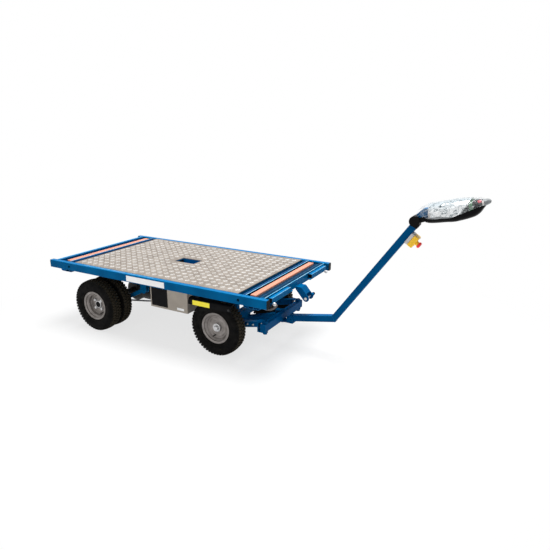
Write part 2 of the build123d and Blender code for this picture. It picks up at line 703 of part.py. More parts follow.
def clevis(y):
    """Two plates above and below the tie bar, joined behind it, with a vertical pin through it."""
    back = TIE_X - CLEVIS_REACH
    half = LEVER_SIZE / 2
    low = TIE_BOTTOM - TIE_GAP - CLEVIS_PLATE
    high = TIE_TOP + TIE_GAP + CLEVIS_PLATE
    plan = Pos(TIE_X, y) * Circle(half) + Pos((back + TIE_X) / 2, y) * Rectangle(TIE_X - back, LEVER_SIZE)
    fork = Pos(0, 0, low) * extrude(plan, CLEVIS_PLATE)
    fork += Pos(0, 0, high - CLEVIS_PLATE) * extrude(plan, CLEVIS_PLATE)
    fork += block((back - CLEVIS_PLATE, back), (y - half, y + half), (low, high))
    fork += rod(TIE_PIN_RADIUS, (TIE_X, y, low - TIE_NUT_HEIGHT), (TIE_X, y, high + TIE_NUT_HEIGHT / 2))
    fork += rod(TIE_NUT_RADIUS, (TIE_X, y, low - TIE_NUT_HEIGHT), (TIE_X, y, low))
    fork += rod(TIE_NUT_RADIUS, (TIE_X, y, high), (TIE_X, y, high + TIE_NUT_HEIGHT / 2))
    return fork


def inclined_tube(start, end, size, wall, y=0):
    """A square tube between two upright end planes, from (x, z) to (x, z)."""
    def strip(half):
        rise = half / cos(atan2(end[1] - start[1], end[0] - start[0]))
        corners = [(start[0], start[1] - rise), (end[0], end[1] - rise)]
        corners += [(end[0], end[1] + rise), (start[0], start[1] + rise)]
        return side_outline(corners)

    half = size / 2
    return spread(strip(half), size, y) - spread(strip(half - wall), size - 2 * wall, y)


def steering_lever():
    """The tube from the knuckle forward to its clevis on the tie bar."""
    start = (LEVER_ROOT_X + KNUCKLE_WEB, AXLE_Z - LEVER_ROOT_DROP)
    end = (TIE_X - CLEVIS_REACH - CLEVIS_PLATE, TIE_MIDDLE_Z + LEVER_TIP_RISE)
    tube = inclined_tube(start, end, LEVER_SIZE, LEVER_WALL, -KINGPIN_Y)
    return tube + clevis(-KINGPIN_Y)


def tie_bar():
    length = 2 * (KINGPIN_Y + TIE_OVERHANG)
    bar = Rot(0, 0, 90) * hollow_bar(length, TIE_DEPTH, TIE_HEIGHT, TIE_WALL)
    bar = Pos(TIE_X, 0, TIE_MIDDLE_Z) * bar
    for side in (-1, 1):
        cap_y = side * (length - TIE_WALL) / 2
        bar += block(
            around(TIE_X, TIE_DEPTH - TIE_WALL),
            around(cap_y, TIE_WALL),
            around(TIE_MIDDLE_Z, TIE_HEIGHT - TIE_WALL),
        )
    for y in (-KINGPIN_Y, 0, KINGPIN_Y):
        bar -= rod(TIE_PIN_RADIUS + RUNNING_FIT, (TIE_X, y, TIE_BOTTOM - 1), (TIE_X, y, TIE_TOP + 1))
    return bar


# Drawbar head and drawbar
CHEEK_INNER_Y = DRAWBAR_SIZE / 2 + TILT_SIDE_GAP
CHEEK_OUTER_Y = CHEEK_INNER_Y + TILT_CHEEK
HEAD_LEVER_END_X = TIE_X - CLEVIS_REACH - CLEVIS_PLATE
HEAD_LEVER_END_Z = TIE_MIDDLE_Z - HEAD_LEVER_DROP
TILT_X = TIE_X + TILT_REACH
TILT_Z = TIE_MIDDLE_Z - TILT_DROP
DRAWBAR_BEND_X = TILT_X + LOWER_TUBE_REACH
DRAWBAR_BEND_Z = TILT_Z + LOWER_TUBE_RISE


def drawbar_head():
    """The centre lever: an eye under the axle, a tube forward and the cheeks of the drawbar's tilt pin."""
    x = FRONT_AXLE_X
    eye = rod(HEAD_EYE_RADIUS, (x, 0, HEAD_EYE_BOTTOM), (x, 0, HEAD_EYE_TOP))
    tube_start = (x + HEAD_PIN_RADIUS, HEAD_EYE_Z)
    tube_end = (HEAD_LEVER_END_X, HEAD_LEVER_END_Z)
    tube = inclined_tube(tube_start, tube_end, HEAD_LEVER_SIZE, HEAD_LEVER_WALL)
    head = tube - rod(HEAD_EYE_RADIUS, (x, 0, 0), (x, 0, DECK_HEIGHT)) + eye + clevis(0)
    head -= rod(HEAD_PIN_RADIUS + RUNNING_FIT, (x, 0, 0), (x, 0, AXLE_BOTTOM))
    low = TIE_BOTTOM - TIE_GAP - CLEVIS_PLATE
    front = TILT_X + TILT_CHEEK_RADIUS
    head += block((TIE_X, front), (-CHEEK_OUTER_Y, CHEEK_OUTER_Y), (low, low + CLEVIS_PLATE))
    cheek_back = TILT_X - TILT_CHEEK_RADIUS
    for side in (-1, 1):
        inner = side * CHEEK_INNER_Y
        outer = side * CHEEK_OUTER_Y
        y = (min(inner, outer), max(inner, outer))
        head += block((cheek_back, front), y, (low, TILT_Z))
        head += rod(TILT_CHEEK_RADIUS, (TILT_X, y[0], TILT_Z), (TILT_X, y[1], TILT_Z))
    pin_end = CHEEK_OUTER_Y + 10
    head += rod(TILT_PIN_RADIUS, (TILT_X, -pin_end, TILT_Z), (TILT_X, pin_end, TILT_Z))
    return head


LOWER_ANGLE = atan2(DRAWBAR_BEND_Z - TILT_Z, DRAWBAR_BEND_X - TILT_X)
UPPER_ANGLE = radians(UPPER_TUBE_ANGLE)
UPPER_ALONG = (cos(UPPER_ANGLE), sin(UPPER_ANGLE))
UPPER_OUT = (sin(UPPER_ANGLE), -cos(UPPER_ANGLE))
MITRE_SLIP = tan((UPPER_ANGLE - LOWER_ANGLE) / 2)
BEND = (DRAWBAR_BEND_X, DRAWBAR_BEND_Z)


def on_upper_tube(along, out):
    """The (x, z) place at a distance along the upper tube from the bend and out from its middle line."""
    x = BEND[0] + along * UPPER_ALONG[0] + out * UPPER_OUT[0]
    return x, BEND[1] + along * UPPER_ALONG[1] + out * UPPER_OUT[1]


def on_lower_tube(along, out):
    """The (x, z) place at a distance along the lower tube from the tilt pin and below its middle line."""
    return (
        TILT_X + along * cos(LOWER_ANGLE) + out * sin(LOWER_ANGLE),
        TILT_Z + along * sin(LOWER_ANGLE) - out * cos(LOWER_ANGLE),
    )


LOWER_RUN = hypot(DRAWBAR_BEND_X - TILT_X, DRAWBAR_BEND_Z - TILT_Z)


def drawbar_lower_tube():
    """From the tilt pin forward to the mitre at the bend."""
    def strip(half, start):
        slip = half * MITRE_SLIP
        points = [on_lower_tube(start, half), on_lower_tube(LOWER_RUN + slip, half)]
        points += [on_lower_tube(LOWER_RUN - slip, -half), on_lower_tube(start, -half)]
        return side_outline(points)

    half = DRAWBAR_SIZE / 2
    tube = spread(strip(half, 0), DRAWBAR_SIZE)
    tube += rod(half, (TILT_X, -half, TILT_Z), (TILT_X, half, TILT_Z))
    tube -= spread(strip(half - DRAWBAR_WALL, half), DRAWBAR_SIZE - 2 * DRAWBAR_WALL)
    return tube - rod(TILT_PIN_RADIUS + RUNNING_FIT, (TILT_X, -half - 1, TILT_Z), (TILT_X, half + 1, TILT_Z))


def drawbar_upper_tube():
    """From the mitre up to the tiller's collar."""
    def strip(half, end):
        slip = half * MITRE_SLIP
        points = [on_upper_tube(-slip, half), on_upper_tube(end, half)]
        points += [on_upper_tube(end, -half), on_upper_tube(slip, -half)]
        return side_outline(points)

    half = DRAWBAR_SIZE / 2
    tube = spread(strip(half, UPPER_TUBE_RUN), DRAWBAR_SIZE)
    hollow = spread(strip(half - DRAWBAR_WALL, UPPER_TUBE_RUN + 1), DRAWBAR_SIZE - 2 * DRAWBAR_WALL)
    return tube - hollow


COLLAR = on_upper_tube(UPPER_TUBE_RUN + COLLAR_RADIUS, -COLLAR_BACKSET)
TILLER_PLANE = Plane(
    origin=(COLLAR[0], 0, COLLAR[1]),
    x_dir=(0, 1, 0),
    z_dir=(cos(radians(TILLER_RISE)), 0, sin(radians(TILLER_RISE))),
)


def tiller_collar():
    """The black barrel on the tube's end, cut flat where it sits on the tube, with the neck of the head."""
    half = COLLAR_WIDTH / 2
    barrel = rod(COLLAR_RADIUS, (COLLAR[0], -half, COLLAR[1]), (COLLAR[0], half, COLLAR[1]))
    foot = (DRAWBAR_SIZE + 6) / 2
    socket = spread(
        side_outline(
            [
                on_upper_tube(UPPER_TUBE_RUN, -foot),
                on_upper_tube(UPPER_TUBE_RUN, foot),
                on_upper_tube(UPPER_TUBE_RUN + COLLAR_RADIUS, foot),
                on_upper_tube(UPPER_TUBE_RUN + COLLAR_RADIUS, -foot),
            ]
        ),
        2 * foot,
    )
    section = RectangleRounded(NECK_WIDTH, NECK_HEIGHT, NECK_CORNER)
    neck = extrude(TILLER_PLANE * Pos(0, NECK_RISE) * section, TILLER_START)
    return barrel + socket + neck


# Stations of the tiller head and of the bag over it: distance from the collar, half width, and the
# lowest and highest point over the seam
TILLER_STATIONS = (
    (62, 34, -10, 44),
    (130, 74, -32, 66),
    (240, 90, -42, 80),
    (340, 82, -36, 62),
    (400, 56, -10, 48),
    (424, 34, -4, 44),
)
FILM_STATIONS = (
    (36, 40, -20, 64),
    (62, 50, -20, 76),
    (130, 84, -41, 90),
    (240, 99, -51, 82.3),
    (340, 91, -45, 76),
    (400, 65, -19, 62),
    (424, 43, -13, 56),
)
TILLER_START = TILLER_STATIONS[0][0]
TILLER_END = TILLER_STATIONS[-1][0]
SEAM_GAP = 0.5
FILM_WALL = 2
FILM_HEM = -20


def tiller_form(stations=TILLER_STATIONS, shrink=0):
    """A rounded body through stations along the head, made smaller all round by a shrink."""
    sections = []
    for station, half, low, high in stations:
        height = high - low - 2 * shrink
        shape = RectangleRounded(2 * (half - shrink), height, height * 0.36)
        sections.append(TILLER_PLANE.offset(station) * Pos(0, TILLER_SHIFT + (low + high) / 2) * shape)
    return loft(sections, ruled=True)


def tiller_slice(low, high):
    """A slab across the head between two heights of its own frame."""
    length = 2 * TILLER_STATIONS[-1][0]
    slab = Rectangle(4 * TILLER_STATIONS[2][1], high - low)
    return extrude(TILLER_PLANE * Pos(0, TILLER_SHIFT + (low + high) / 2) * slab, length / 2, both=True)


TILLER_DEPTH = 200


def tiller_lower_shell():
    return tiller_form() & tiller_slice(-TILLER_DEPTH, -SEAM_GAP / 2)


def tiller_upper_cover():
    return tiller_form() & tiller_slice(SEAM_GAP / 2, TILLER_DEPTH)


def tiller_film():
    """The loose clear bag that lies on the head's cover, open below and at both ends."""
    bag = tiller_form(FILM_STATIONS) - tiller_form(FILM_STATIONS, FILM_WALL)
    return bag & tiller_slice(FILM_HEM, TILLER_DEPTH)


def tiller_neck_block():
    """The wedge on the neck between the collar and the head."""
    low = NECK_RISE + NECK_HEIGHT / 2
    outline = Polyline(
        (NECK_BLOCK_START, low),
        (TILLER_START, low),
        (TILLER_START, NECK_BLOCK_FRONT_TOP),
        (NECK_BLOCK_START, NECK_BLOCK_REAR_TOP),
        close=True,
    )
    side = Plane(origin=TILLER_PLANE.origin, x_dir=TILLER_PLANE.z_dir, z_dir=(0, -1, 0))
    wedge = extrude(side * make_face(outline), NECK_BLOCK_WIDTH / 2, both=True)
    return wedge - tiller_collar()


def tiller_tip():
    """The cap on the front end of the head."""
    low, high = TILLER_STATIONS[-1][2:]
    section = Pos(0, TILLER_SHIFT + (low + high) / 2) * RectangleRounded(TIP_WIDTH, TIP_HEIGHT, TIP_CORNER)
    cap = extrude(TILLER_PLANE.offset(TILLER_END) * section, TIP_LENGTH)
    return fillet(cap.faces().sort_by(Axis.X)[-1].edges(), TIP_CORNER / 2)


def tiller_red_key():
    """The round key on the right front of the cover."""
    stations = TILLER_STATIONS[3:5]
    share = (KEY_ALONG - stations[0][0]) / (stations[1][0] - stations[0][0])
    top = TILLER_SHIFT + stations[0][3] + share * (stations[1][3] - stations[0][3])
    side = Plane(origin=TILLER_PLANE.origin, x_dir=TILLER_PLANE.z_dir, z_dir=(0, -1, 0))
    low = side.from_local_coords((KEY_ALONG, top - 4 * KEY_HEIGHT, KEY_SIDE))
    high = side.from_local_coords((KEY_ALONG, top + KEY_HEIGHT, KEY_SIDE))
    return rod(KEY_RADIUS, tuple(low), tuple(high)) - tiller_form()


# Emergency stop on the front face of the upper tube
STOP_FACE = DRAWBAR_SIZE / 2
STOP_MIDDLE = UPPER_TUBE_RUN - STOP_BOX_SETBACK - STOP_BOX_LENGTH / 2


def stop_plane(out):
    """The plane that faces away from the tube at a height over its middle line."""
    x, z = on_upper_tube(STOP_MIDDLE, out)
    return Plane(origin=(x, 0, z), x_dir=(0, 1, 0), z_dir=(UPPER_OUT[0], 0, UPPER_OUT[1]))


def stop_base():
    outline = RectangleRounded(STOP_BOX_WIDTH, STOP_BOX_LENGTH, 4)
    return extrude(stop_plane(STOP_FACE) * outline, STOP_BASE_HEIGHT)


def stop_cover():
    outline = RectangleRounded(STOP_BOX_WIDTH, STOP_BOX_LENGTH, 4)
    start = STOP_FACE + STOP_BASE_HEIGHT
    cover = extrude(stop_plane(start) * outline, STOP_COVER_HEIGHT)
    collar = stop_plane(start + STOP_COVER_HEIGHT) * Circle(STOP_COLLAR_RADIUS)
    return cover + extrude(collar, STOP_COLLAR_HEIGHT)


def stop_button():
    start = STOP_FACE + STOP_BASE_HEIGHT + STOP_COVER_HEIGHT + STOP_COLLAR_HEIGHT
    button = extrude(stop_plane(start) * Circle(STOP_BUTTON_RADIUS), STOP_BUTTON_HEIGHT)
    rim_edge = button.edges().sort_by(Axis((0, 0, 0), (UPPER_OUT[0], 0, UPPER_OUT[1])))[-1]
    return fillet(rim_edge, 6)


# Rear drive axle and its links
ARM_PIVOT_Z = AXLE_Z + ARM_PIVOT_RISE


def rear_axle():
    """The axle tube with its differential housing and a clamp block for each trailing arm."""
    x = REAR_AXLE_X
    axle = rod(DRIVE_TUBE_RADIUS, (x, -DRIVE_TUBE_HALF, AXLE_Z), (x, DRIVE_TUBE_HALF, AXLE_Z))
    half = DIFFERENTIAL_WIDTH / 2
    housing = rod(DIFFERENTIAL_RADIUS, (x, -half, AXLE_Z), (x, half, AXLE_Z))
    axle += chamfer(housing.edges().filter_by(GeomType.CIRCLE), 24)
    for side in (-1, 1):
        clamp_y = around(side * ARM_Y, CLAMP_WIDTH)
        axle += block(around(x, CLAMP_LENGTH), clamp_y, around(AXLE_Z, CLAMP_HEIGHT))
        axle += block(
            (x, x + CLAMP_LENGTH / 2),
            around(side * ROD_Y, ROD_LUG_THICKNESS),
            (AXLE_Z - CLAMP_HEIGHT / 2, AXLE_Z),
        )
        shaft_end = side * (DRIVE_TUBE_HALF - REAR_SHAFT_GRIP - FACE_GAP)
        tube_end = side * (DRIVE_TUBE_HALF + 1)
        axle -= rod(REAR_SHAFT_RADIUS + RUNNING_FIT, (x, shaft_end, AXLE_Z), (x, tube_end, AXLE_Z))
    return axle


def drive_motor():
    """The motor that stands forward of the differential."""
    start = REAR_AXLE_X + DIFFERENTIAL_RADIUS
    motor = rod(MOTOR_RADIUS, (start, 0, AXLE_Z), (start + MOTOR_LENGTH, 0, AXLE_Z))
    return fillet(motor.edges().group_by(Axis.X)[-1], 12)


def trailing_arm():
    """A flat bar from the axle clamp up to its pin in the hanger."""
    start = (REAR_AXLE_X + CLAMP_LENGTH / 2, AXLE_Z - CLAMP_HEIGHT / 2 + ARM_HEIGHT)
    end = (ARM_PIVOT_X, ARM_PIVOT_Z)
    rise = ARM_HEIGHT / 2 / cos(atan2(end[1] - start[1], end[0] - start[0]))
    outline = [(start[0], start[1] - rise), (end[0], end[1] - rise)]
    outline += [(end[0], end[1] + rise), (start[0], start[1] + rise)]
    arm = spread(side_outline(outline), ARM_WIDTH, -ARM_Y)
    eye = [(end[0], -ARM_Y - ARM_WIDTH / 2, end[1]), (end[0], -ARM_Y + ARM_WIDTH / 2, end[1])]
    arm += rod(ARM_EYE_RADIUS, *eye)
    return arm - rod(ARM_PIN_RADIUS + RUNNING_FIT, *eye)


def arm_hanger():
    """Two plates with a round end under a cross member, and the pin between them."""
    outline = Pos(ARM_PIVOT_X, ARM_PIVOT_Z) * Circle(HANGER_RADIUS)
    half = HANGER_WIDTH / 2
    top = make_face(
        Polyline(
            (ARM_PIVOT_X - half, MEMBER_BOTTOM),
            (ARM_PIVOT_X + half, MEMBER_BOTTOM),
            (ARM_PIVOT_X + HANGER_RADIUS, ARM_PIVOT_Z),
            (ARM_PIVOT_X - HANGER_RADIUS, ARM_PIVOT_Z),
            close=True,
        )
    )
    plane = Plane(origin=(0, 0, 0), x_dir=(1, 0, 0), z_dir=(0, -1, 0))
    plate = extrude(plane * (outline + top), HANGER_PLATE)
    gap = ARM_WIDTH / 2 + FACE_GAP / 2
    hanger = Pos(0, -ARM_Y - gap, 0) * plate + Pos(0, -ARM_Y + gap + HANGER_PLATE, 0) * plate
    reach = gap + HANGER_PLATE + 5
    pin = [(ARM_PIVOT_X, -ARM_Y - reach, ARM_PIVOT_Z), (ARM_PIVOT_X, -ARM_Y + reach, ARM_PIVOT_Z)]
    hanger += rod(ARM_PIN_RADIUS, *pin)
    return hanger


def brake_rod():
    """A thin rod from the axle lug forward to the lug under the battery box."""
    start = (REAR_AXLE_X + CLAMP_LENGTH / 2, -ROD_Y, AXLE_Z - ROD_REAR_DROP)
    end = (BOX_MIDDLE_X - BOX_LENGTH / 2, -ROD_Y, BOX_BOTTOM - ROD_DROP)
    bar = rod(ROD_RADIUS, start, end)
    inside = block((start[0], end[0]), around(-ROD_Y, 8 * ROD_RADIUS), (0, DECK_HEIGHT))
    return bar & inside


# Front wheel guards
GUARD_TOP = 2 * TYRE_RADIUS + GUARD_CLEARANCE + GUARD_SHEET
GUARD_OUTER_Y = HALF_WIDTH - GUARD_INSET
GUARD_MIDDLE_X = FRONT_AXLE_X + GUARD_AHEAD


def wheel_guard():
    """A sheet over the tyre whose outer edge turns down, on two straps from the side beam."""
    def bent_block(grow):
        top = GUARD_TOP - GUARD_SHEET + grow
        outer = -GUARD_OUTER_Y + GUARD_SHEET - grow
        solid = block(around(0, GUARD_LENGTH), (outer, -GUARD_INNER_Y), (GUARD_TOP - GUARD_SKIRT, top))
        edge = solid.edges().filter_by(Axis.X).group_by(Axis.Y)[0].group_by(Axis.Z)[-1]
        return fillet(edge, GUARD_BEND - GUARD_SHEET + grow)

    sheet = bent_block(GUARD_SHEET) - bent_block(0)
    guard = Pos(GUARD_MIDDLE_X, 0, 0) * sheet
    for x in (GUARD_MIDDLE_X - STRAP_SPREAD, GUARD_MIDDLE_X + STRAP_SPREAD):
        strap_y = (-BEAM_INNER_Y, -BEAM_INNER_Y + GUARD_SHEET)
        guard += block(around(x, STRAP_WIDTH), strap_y, (GUARD_TOP - GUARD_SHEET, BEAM_BOTTOM + STRAP_LAP))
    return guard


def add_chassis():
    parts["side_beams"] = pair(side_beam())
    plug = beam_end_plug()
    plugs = group([plug, mirror(plug, about=Plane.YZ), *bumper_tube_plugs()])
    parts["tube_plugs"] = pair(plugs)
    parts["end_cross_tubes"] = group([end_cross_tube(1), end_cross_tube(-1)])
    parts["deck_plate"] = deck_plate()
    parts["deck_pocket"] = deck_pocket()
    parts["end_troughs"] = group([end_trough(1), end_trough(-1)])
    parts["timber_strips"] = group([timber_strip(1), timber_strip(-1)])
    parts["deck_cross_members"] = group([deck_cross_member(x) for x in MEMBER_X])
    parts["chassis_rails"] = pair(chassis_rail())
    parts["bumper_tubes"] = pair(bumper_tube())
    parts["bumper_plates"] = pair(bumper_plate())
    parts["drawbar_latch"] = drawbar_latch()
    parts["latch_pin"] = latch_pin()
    parts["battery_boxes"] = pair(battery_box())
    parts["batteries"] = pair(battery())
    parts["front_wheel_guards"] = pair(wheel_guard())
    parts["front_axle_beam"] = front_axle_beam()
    parts["front_axle_legs"] = pair(front_axle_leg())
    parts["rear_axle"] = rear_axle()
    parts["drive_motor"] = drive_motor()
    parts["trailing_arms"] = pair(trailing_arm())
    parts["arm_hangers"] = pair(arm_hanger())
    parts["brake_rods"] = pair(brake_rod())


def add_both_sides(name, shape):
    parts[name + "_right"] = shape
    parts[name + "_left"] = mirrored(shape)


def add_steering():
    add_both_sides("knuckle", knuckle())
    add_both_sides("steering_lever", steering_lever())
    parts["tie_bar"] = tie_bar()
    parts["drawbar_head"] = drawbar_head()


def add_wheels():
    front = Pos(FRONT_AXLE_X, -FRONT_WHEEL_Y, AXLE_Z)
    add_both_sides("front_tyre", front * tyre())
    add_both_sides("front_rim", front * rim(FRONT_DISH, FRONT_HUB_RADIUS + BEAD_FIT))
    add_both_sides("front_hub", front * front_hub())
    outer = Pos(REAR_AXLE_X, -REAR_OUTER_Y, AXLE_Z)
    inner = Pos(REAR_AXLE_X, -REAR_OUTER_Y + TWIN_SPACING, AXLE_Z)
    flipped = inner * Rot(0, 0, 180)
    add_both_sides("rear_tyres", group([outer * tyre(), inner * tyre()]))
    spigot_hole = REAR_SHAFT_RADIUS + 12 + BEAD_FIT
    wheel_disc = rim(REAR_DISH, spigot_hole)
    add_both_sides("rear_rims", group([outer * wheel_disc, flipped * wheel_disc]))
    add_both_sides("rear_hub", Pos(REAR_AXLE_X, 0, AXLE_Z) * rear_hub())


def add_drawbar():
    parts["drawbar_lower_tube"] = drawbar_lower_tube()
    parts["drawbar_upper_tube"] = drawbar_upper_tube()
    parts["tiller_collar"] = tiller_collar()
    parts["tiller_lower_shell"] = tiller_lower_shell()
    parts["tiller_upper_cover"] = tiller_upper_cover()
    parts["tiller_film"] = tiller_film()
    parts["tiller_neck_block"] = tiller_neck_block()
    parts["tiller_tip"] = tiller_tip()
    parts["tiller_red_key"] = tiller_red_key()
    parts["stop_base"] = stop_base()
    parts["stop_cover"] = stop_cover()
    parts["stop_button"] = stop_button()


add_chassis()
add_steering()
add_wheels()
add_drawbar()

corners = [shape.bounding_box() for shape in parts.values()]
rear_end = min(box.min.X for box in corners)
front_end = max(box.max.X for box in corners)
middle_x = (rear_end + front_end) / 2
os.makedirs("parts", exist_ok=True)
for name, shape in parts.items():
    export_step(Pos(-middle_x, 0, 0) * shape, f"parts/{name}.step")

places = {
    "steering pivot": (FRONT_AXLE_X, 0, HEAD_EYE_Z),
    "tie bar pivot": (TIE_X, 0, TIE_MIDDLE_Z),
    "kingpin": (FRONT_AXLE_X, -KINGPIN_Y, AXLE_Z),
    "tilt pin": (TILT_X, 0, TILT_Z),
    "front wheel": (FRONT_AXLE_X, -FRONT_WHEEL_Y, AXLE_Z),
    "rear wheel": (REAR_AXLE_X, -REAR_OUTER_Y, AXLE_Z),
}
print(f"{len(parts)} pieces, X moved by {-middle_x:.3f}")
for label, (x, y, z) in places.items():
    print(f"{label}: {x - middle_x:.3f} {y:.3f} {z:.3f}")
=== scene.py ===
# %% [markdown]
# # An electric platform cart
# The cart is a low blue steel platform with an aluminium tread deck, four wheel stations and a bent
# tiller whose head sits in a loose clear bag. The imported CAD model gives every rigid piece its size
# and place. This lesson dresses that model: it adds the tread bars, the tyres' blocks, the pressed
# rims, the bag, the welds and the bolts, and it gives every piece a procedural finish.

# %% Load the frame
import json
import math

import bmesh
import bpy
from mathutils import Matrix, Vector, noise

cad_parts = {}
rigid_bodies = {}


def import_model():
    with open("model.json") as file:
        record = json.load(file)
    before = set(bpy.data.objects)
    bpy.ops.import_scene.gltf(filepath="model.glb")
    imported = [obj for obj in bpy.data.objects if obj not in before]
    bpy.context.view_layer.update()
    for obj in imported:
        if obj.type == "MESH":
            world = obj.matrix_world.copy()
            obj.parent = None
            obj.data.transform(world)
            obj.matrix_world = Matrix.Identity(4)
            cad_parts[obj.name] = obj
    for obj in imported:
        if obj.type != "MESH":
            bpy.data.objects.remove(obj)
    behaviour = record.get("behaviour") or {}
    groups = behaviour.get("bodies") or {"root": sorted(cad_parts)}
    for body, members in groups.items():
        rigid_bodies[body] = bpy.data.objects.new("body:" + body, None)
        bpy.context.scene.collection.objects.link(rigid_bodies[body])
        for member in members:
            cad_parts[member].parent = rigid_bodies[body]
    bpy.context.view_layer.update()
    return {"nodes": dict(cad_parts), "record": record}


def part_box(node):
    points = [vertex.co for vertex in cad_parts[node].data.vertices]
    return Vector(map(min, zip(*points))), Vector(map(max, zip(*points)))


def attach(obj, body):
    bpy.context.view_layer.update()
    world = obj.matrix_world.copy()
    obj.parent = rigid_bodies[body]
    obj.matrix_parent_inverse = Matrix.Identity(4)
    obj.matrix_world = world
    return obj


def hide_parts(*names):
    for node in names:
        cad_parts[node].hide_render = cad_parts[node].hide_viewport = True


for leftover in list(bpy.data.objects):
    bpy.data.objects.remove(leftover)
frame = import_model()
MM = 0.001

# %% [markdown]
# The cart was drawn from the middle of its platform, so most places here are easier to read from
# there too. The side beams are centred on the platform, which gives that middle back.

# %% Find the platform's middle
beam_low, beam_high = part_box("side_beams")
PLATFORM_X = (beam_low.x + beam_high.x) / 2
DECK_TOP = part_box("deck_plate")[1].z
ON_PLATFORM = Matrix.Translation((PLATFORM_X, 0, 0))


def at(x, y, z):
    """A place in metres from millimetres forward of the platform's middle, to the left and up."""
    return Vector((PLATFORM_X + x * MM, y * MM, z * MM))


print("platform middle at", round(PLATFORM_X, 6), "deck top at", round(DECK_TOP, 4))

# %% [markdown]
# ## Camera
# The photograph was taken from the right front, a little above the tiller. The camera's place, turn
# and focal length were fitted to the platform's corners and the wheels, so they are used as they are.
# A camera looks along its own minus Z, so it is tipped up by a right angle before it is turned.

# %% Camera
IMAGE_SIZE = 550
FOCAL_PIXELS = 504.54
SENSOR = 36.0
CAMERA_PLACE = at(2449.7, -3098.6, 1606.2)
YAW, PITCH, ROLL = 0.495664, -0.296551, 0.006277

camera_data = bpy.data.cameras.new("camera")
camera_data.sensor_width = SENSOR
camera_data.lens = SENSOR * FOCAL_PIXELS / IMAGE_SIZE
camera = bpy.data.objects.new("camera", camera_data)
camera.matrix_world = (
    Matrix.Translation(CAMERA_PLACE)
    @ Matrix.Rotation(YAW, 4, "Z")
    @ Matrix.Rotation(math.pi / 2 + PITCH, 4, "X")
    @ Matrix.Rotation(ROLL, 4, "Z")
)
bpy.context.scene.collection.objects.link(camera)
bpy.context.scene.camera = camera
print("lens", round(camera_data.lens, 2), "mm")

# %% [markdown]
# ## Finishes
# Shader nodes are easier to follow when one small function adds a node, and another sets its inputs and
# makes its links. Colours are written as they look on a screen and turned to linear light by one function,
# and a pattern's scale is worked out from the real size of its marks. A Mix node has a set of sockets for
# each type of data, so the numbers of the ones for colours get names.

# %% Node and colour helpers
FACTOR, COLOUR_A, COLOUR_B = 0, 6, 7


def linear(colour):
    """A hex colour as linear red, green, blue and alpha."""
    channels = [int(colour[i : i + 2], 16) / 255 for i in (1, 3, 5)]
    return tuple(c / 12.92 if c <= 0.04045 else ((c + 0.055) / 1.055) ** 2.4 for c in channels) + (1.0,)


def per_metre(size_mm):
    """The texture scale whose marks are about this many millimetres apart."""
    return 1000 / size_mm


def feed(node, inputs):
    """Set a node's inputs to plain values, or link them to sockets or to nodes' first outputs in use."""
    for key, value in inputs.items():
        if isinstance(value, bpy.types.Node):
            value = next(socket for socket in value.outputs if socket.enabled)
        if isinstance(value, bpy.types.NodeSocket):
            node.id_data.links.new(value, node.inputs[key])
        else:
            node.inputs[key].default_value = value


def add(tree, kind, inputs=None, stops=(), **settings):
    """Add one node: settings are its properties, inputs its values or links, stops a ramp's colours."""
    made = tree.nodes.new(kind)
    for key, value in settings.items():
        setattr(made, key, value)
    feed(made, inputs or {})
    if stops:
        elements = made.color_ramp.elements
        while len(elements) < len(stops):
            elements.new(0.5)
        for element, (position, colour) in zip(elements, stops):
            element.position = position
            element.color = linear(colour)
    return made


def new_finish(name, **values):
    """A material, its node tree, its shader with plain values set, and the piece's own coordinates."""
    material = bpy.data.materials.new(name)
    material.use_nodes = True
    tree = material.node_tree
    shader = tree.nodes["Principled BSDF"]
    feed(shader, {key.replace("_", " "): value for key, value in values.items()})
    place = add(tree, "ShaderNodeTexCoord").outputs["Object"]
    return material, tree, shader, place


finishes = {}
print("node helpers ready")

# %% [markdown]
# The frame is steel in a blue stoving enamel. Stoving leaves a smooth, slightly wavy film, so the eye
# sees a soft gloss, a faint orange peel and paler edges. The Bevel node finds the edges: where its
# rounded normal differs from the true one, the paint is paler, partly worn and partly a painted highlight.
# The tops get a painted tone where the piece's own normal points up: a painted highlight on the frame and
# the drawbar, painted shade in the troughs. That normal turns with the piece, so the toned side of the
# drawbar stays the same when it is lifted.

# %% Blue stoving enamel
TONE_MM, SCUFF_MM, PEEL_MM = 180, 22, 6
EDGE_ROUND_MM, PEEL_DEPTH_MM = 2.5, 0.3


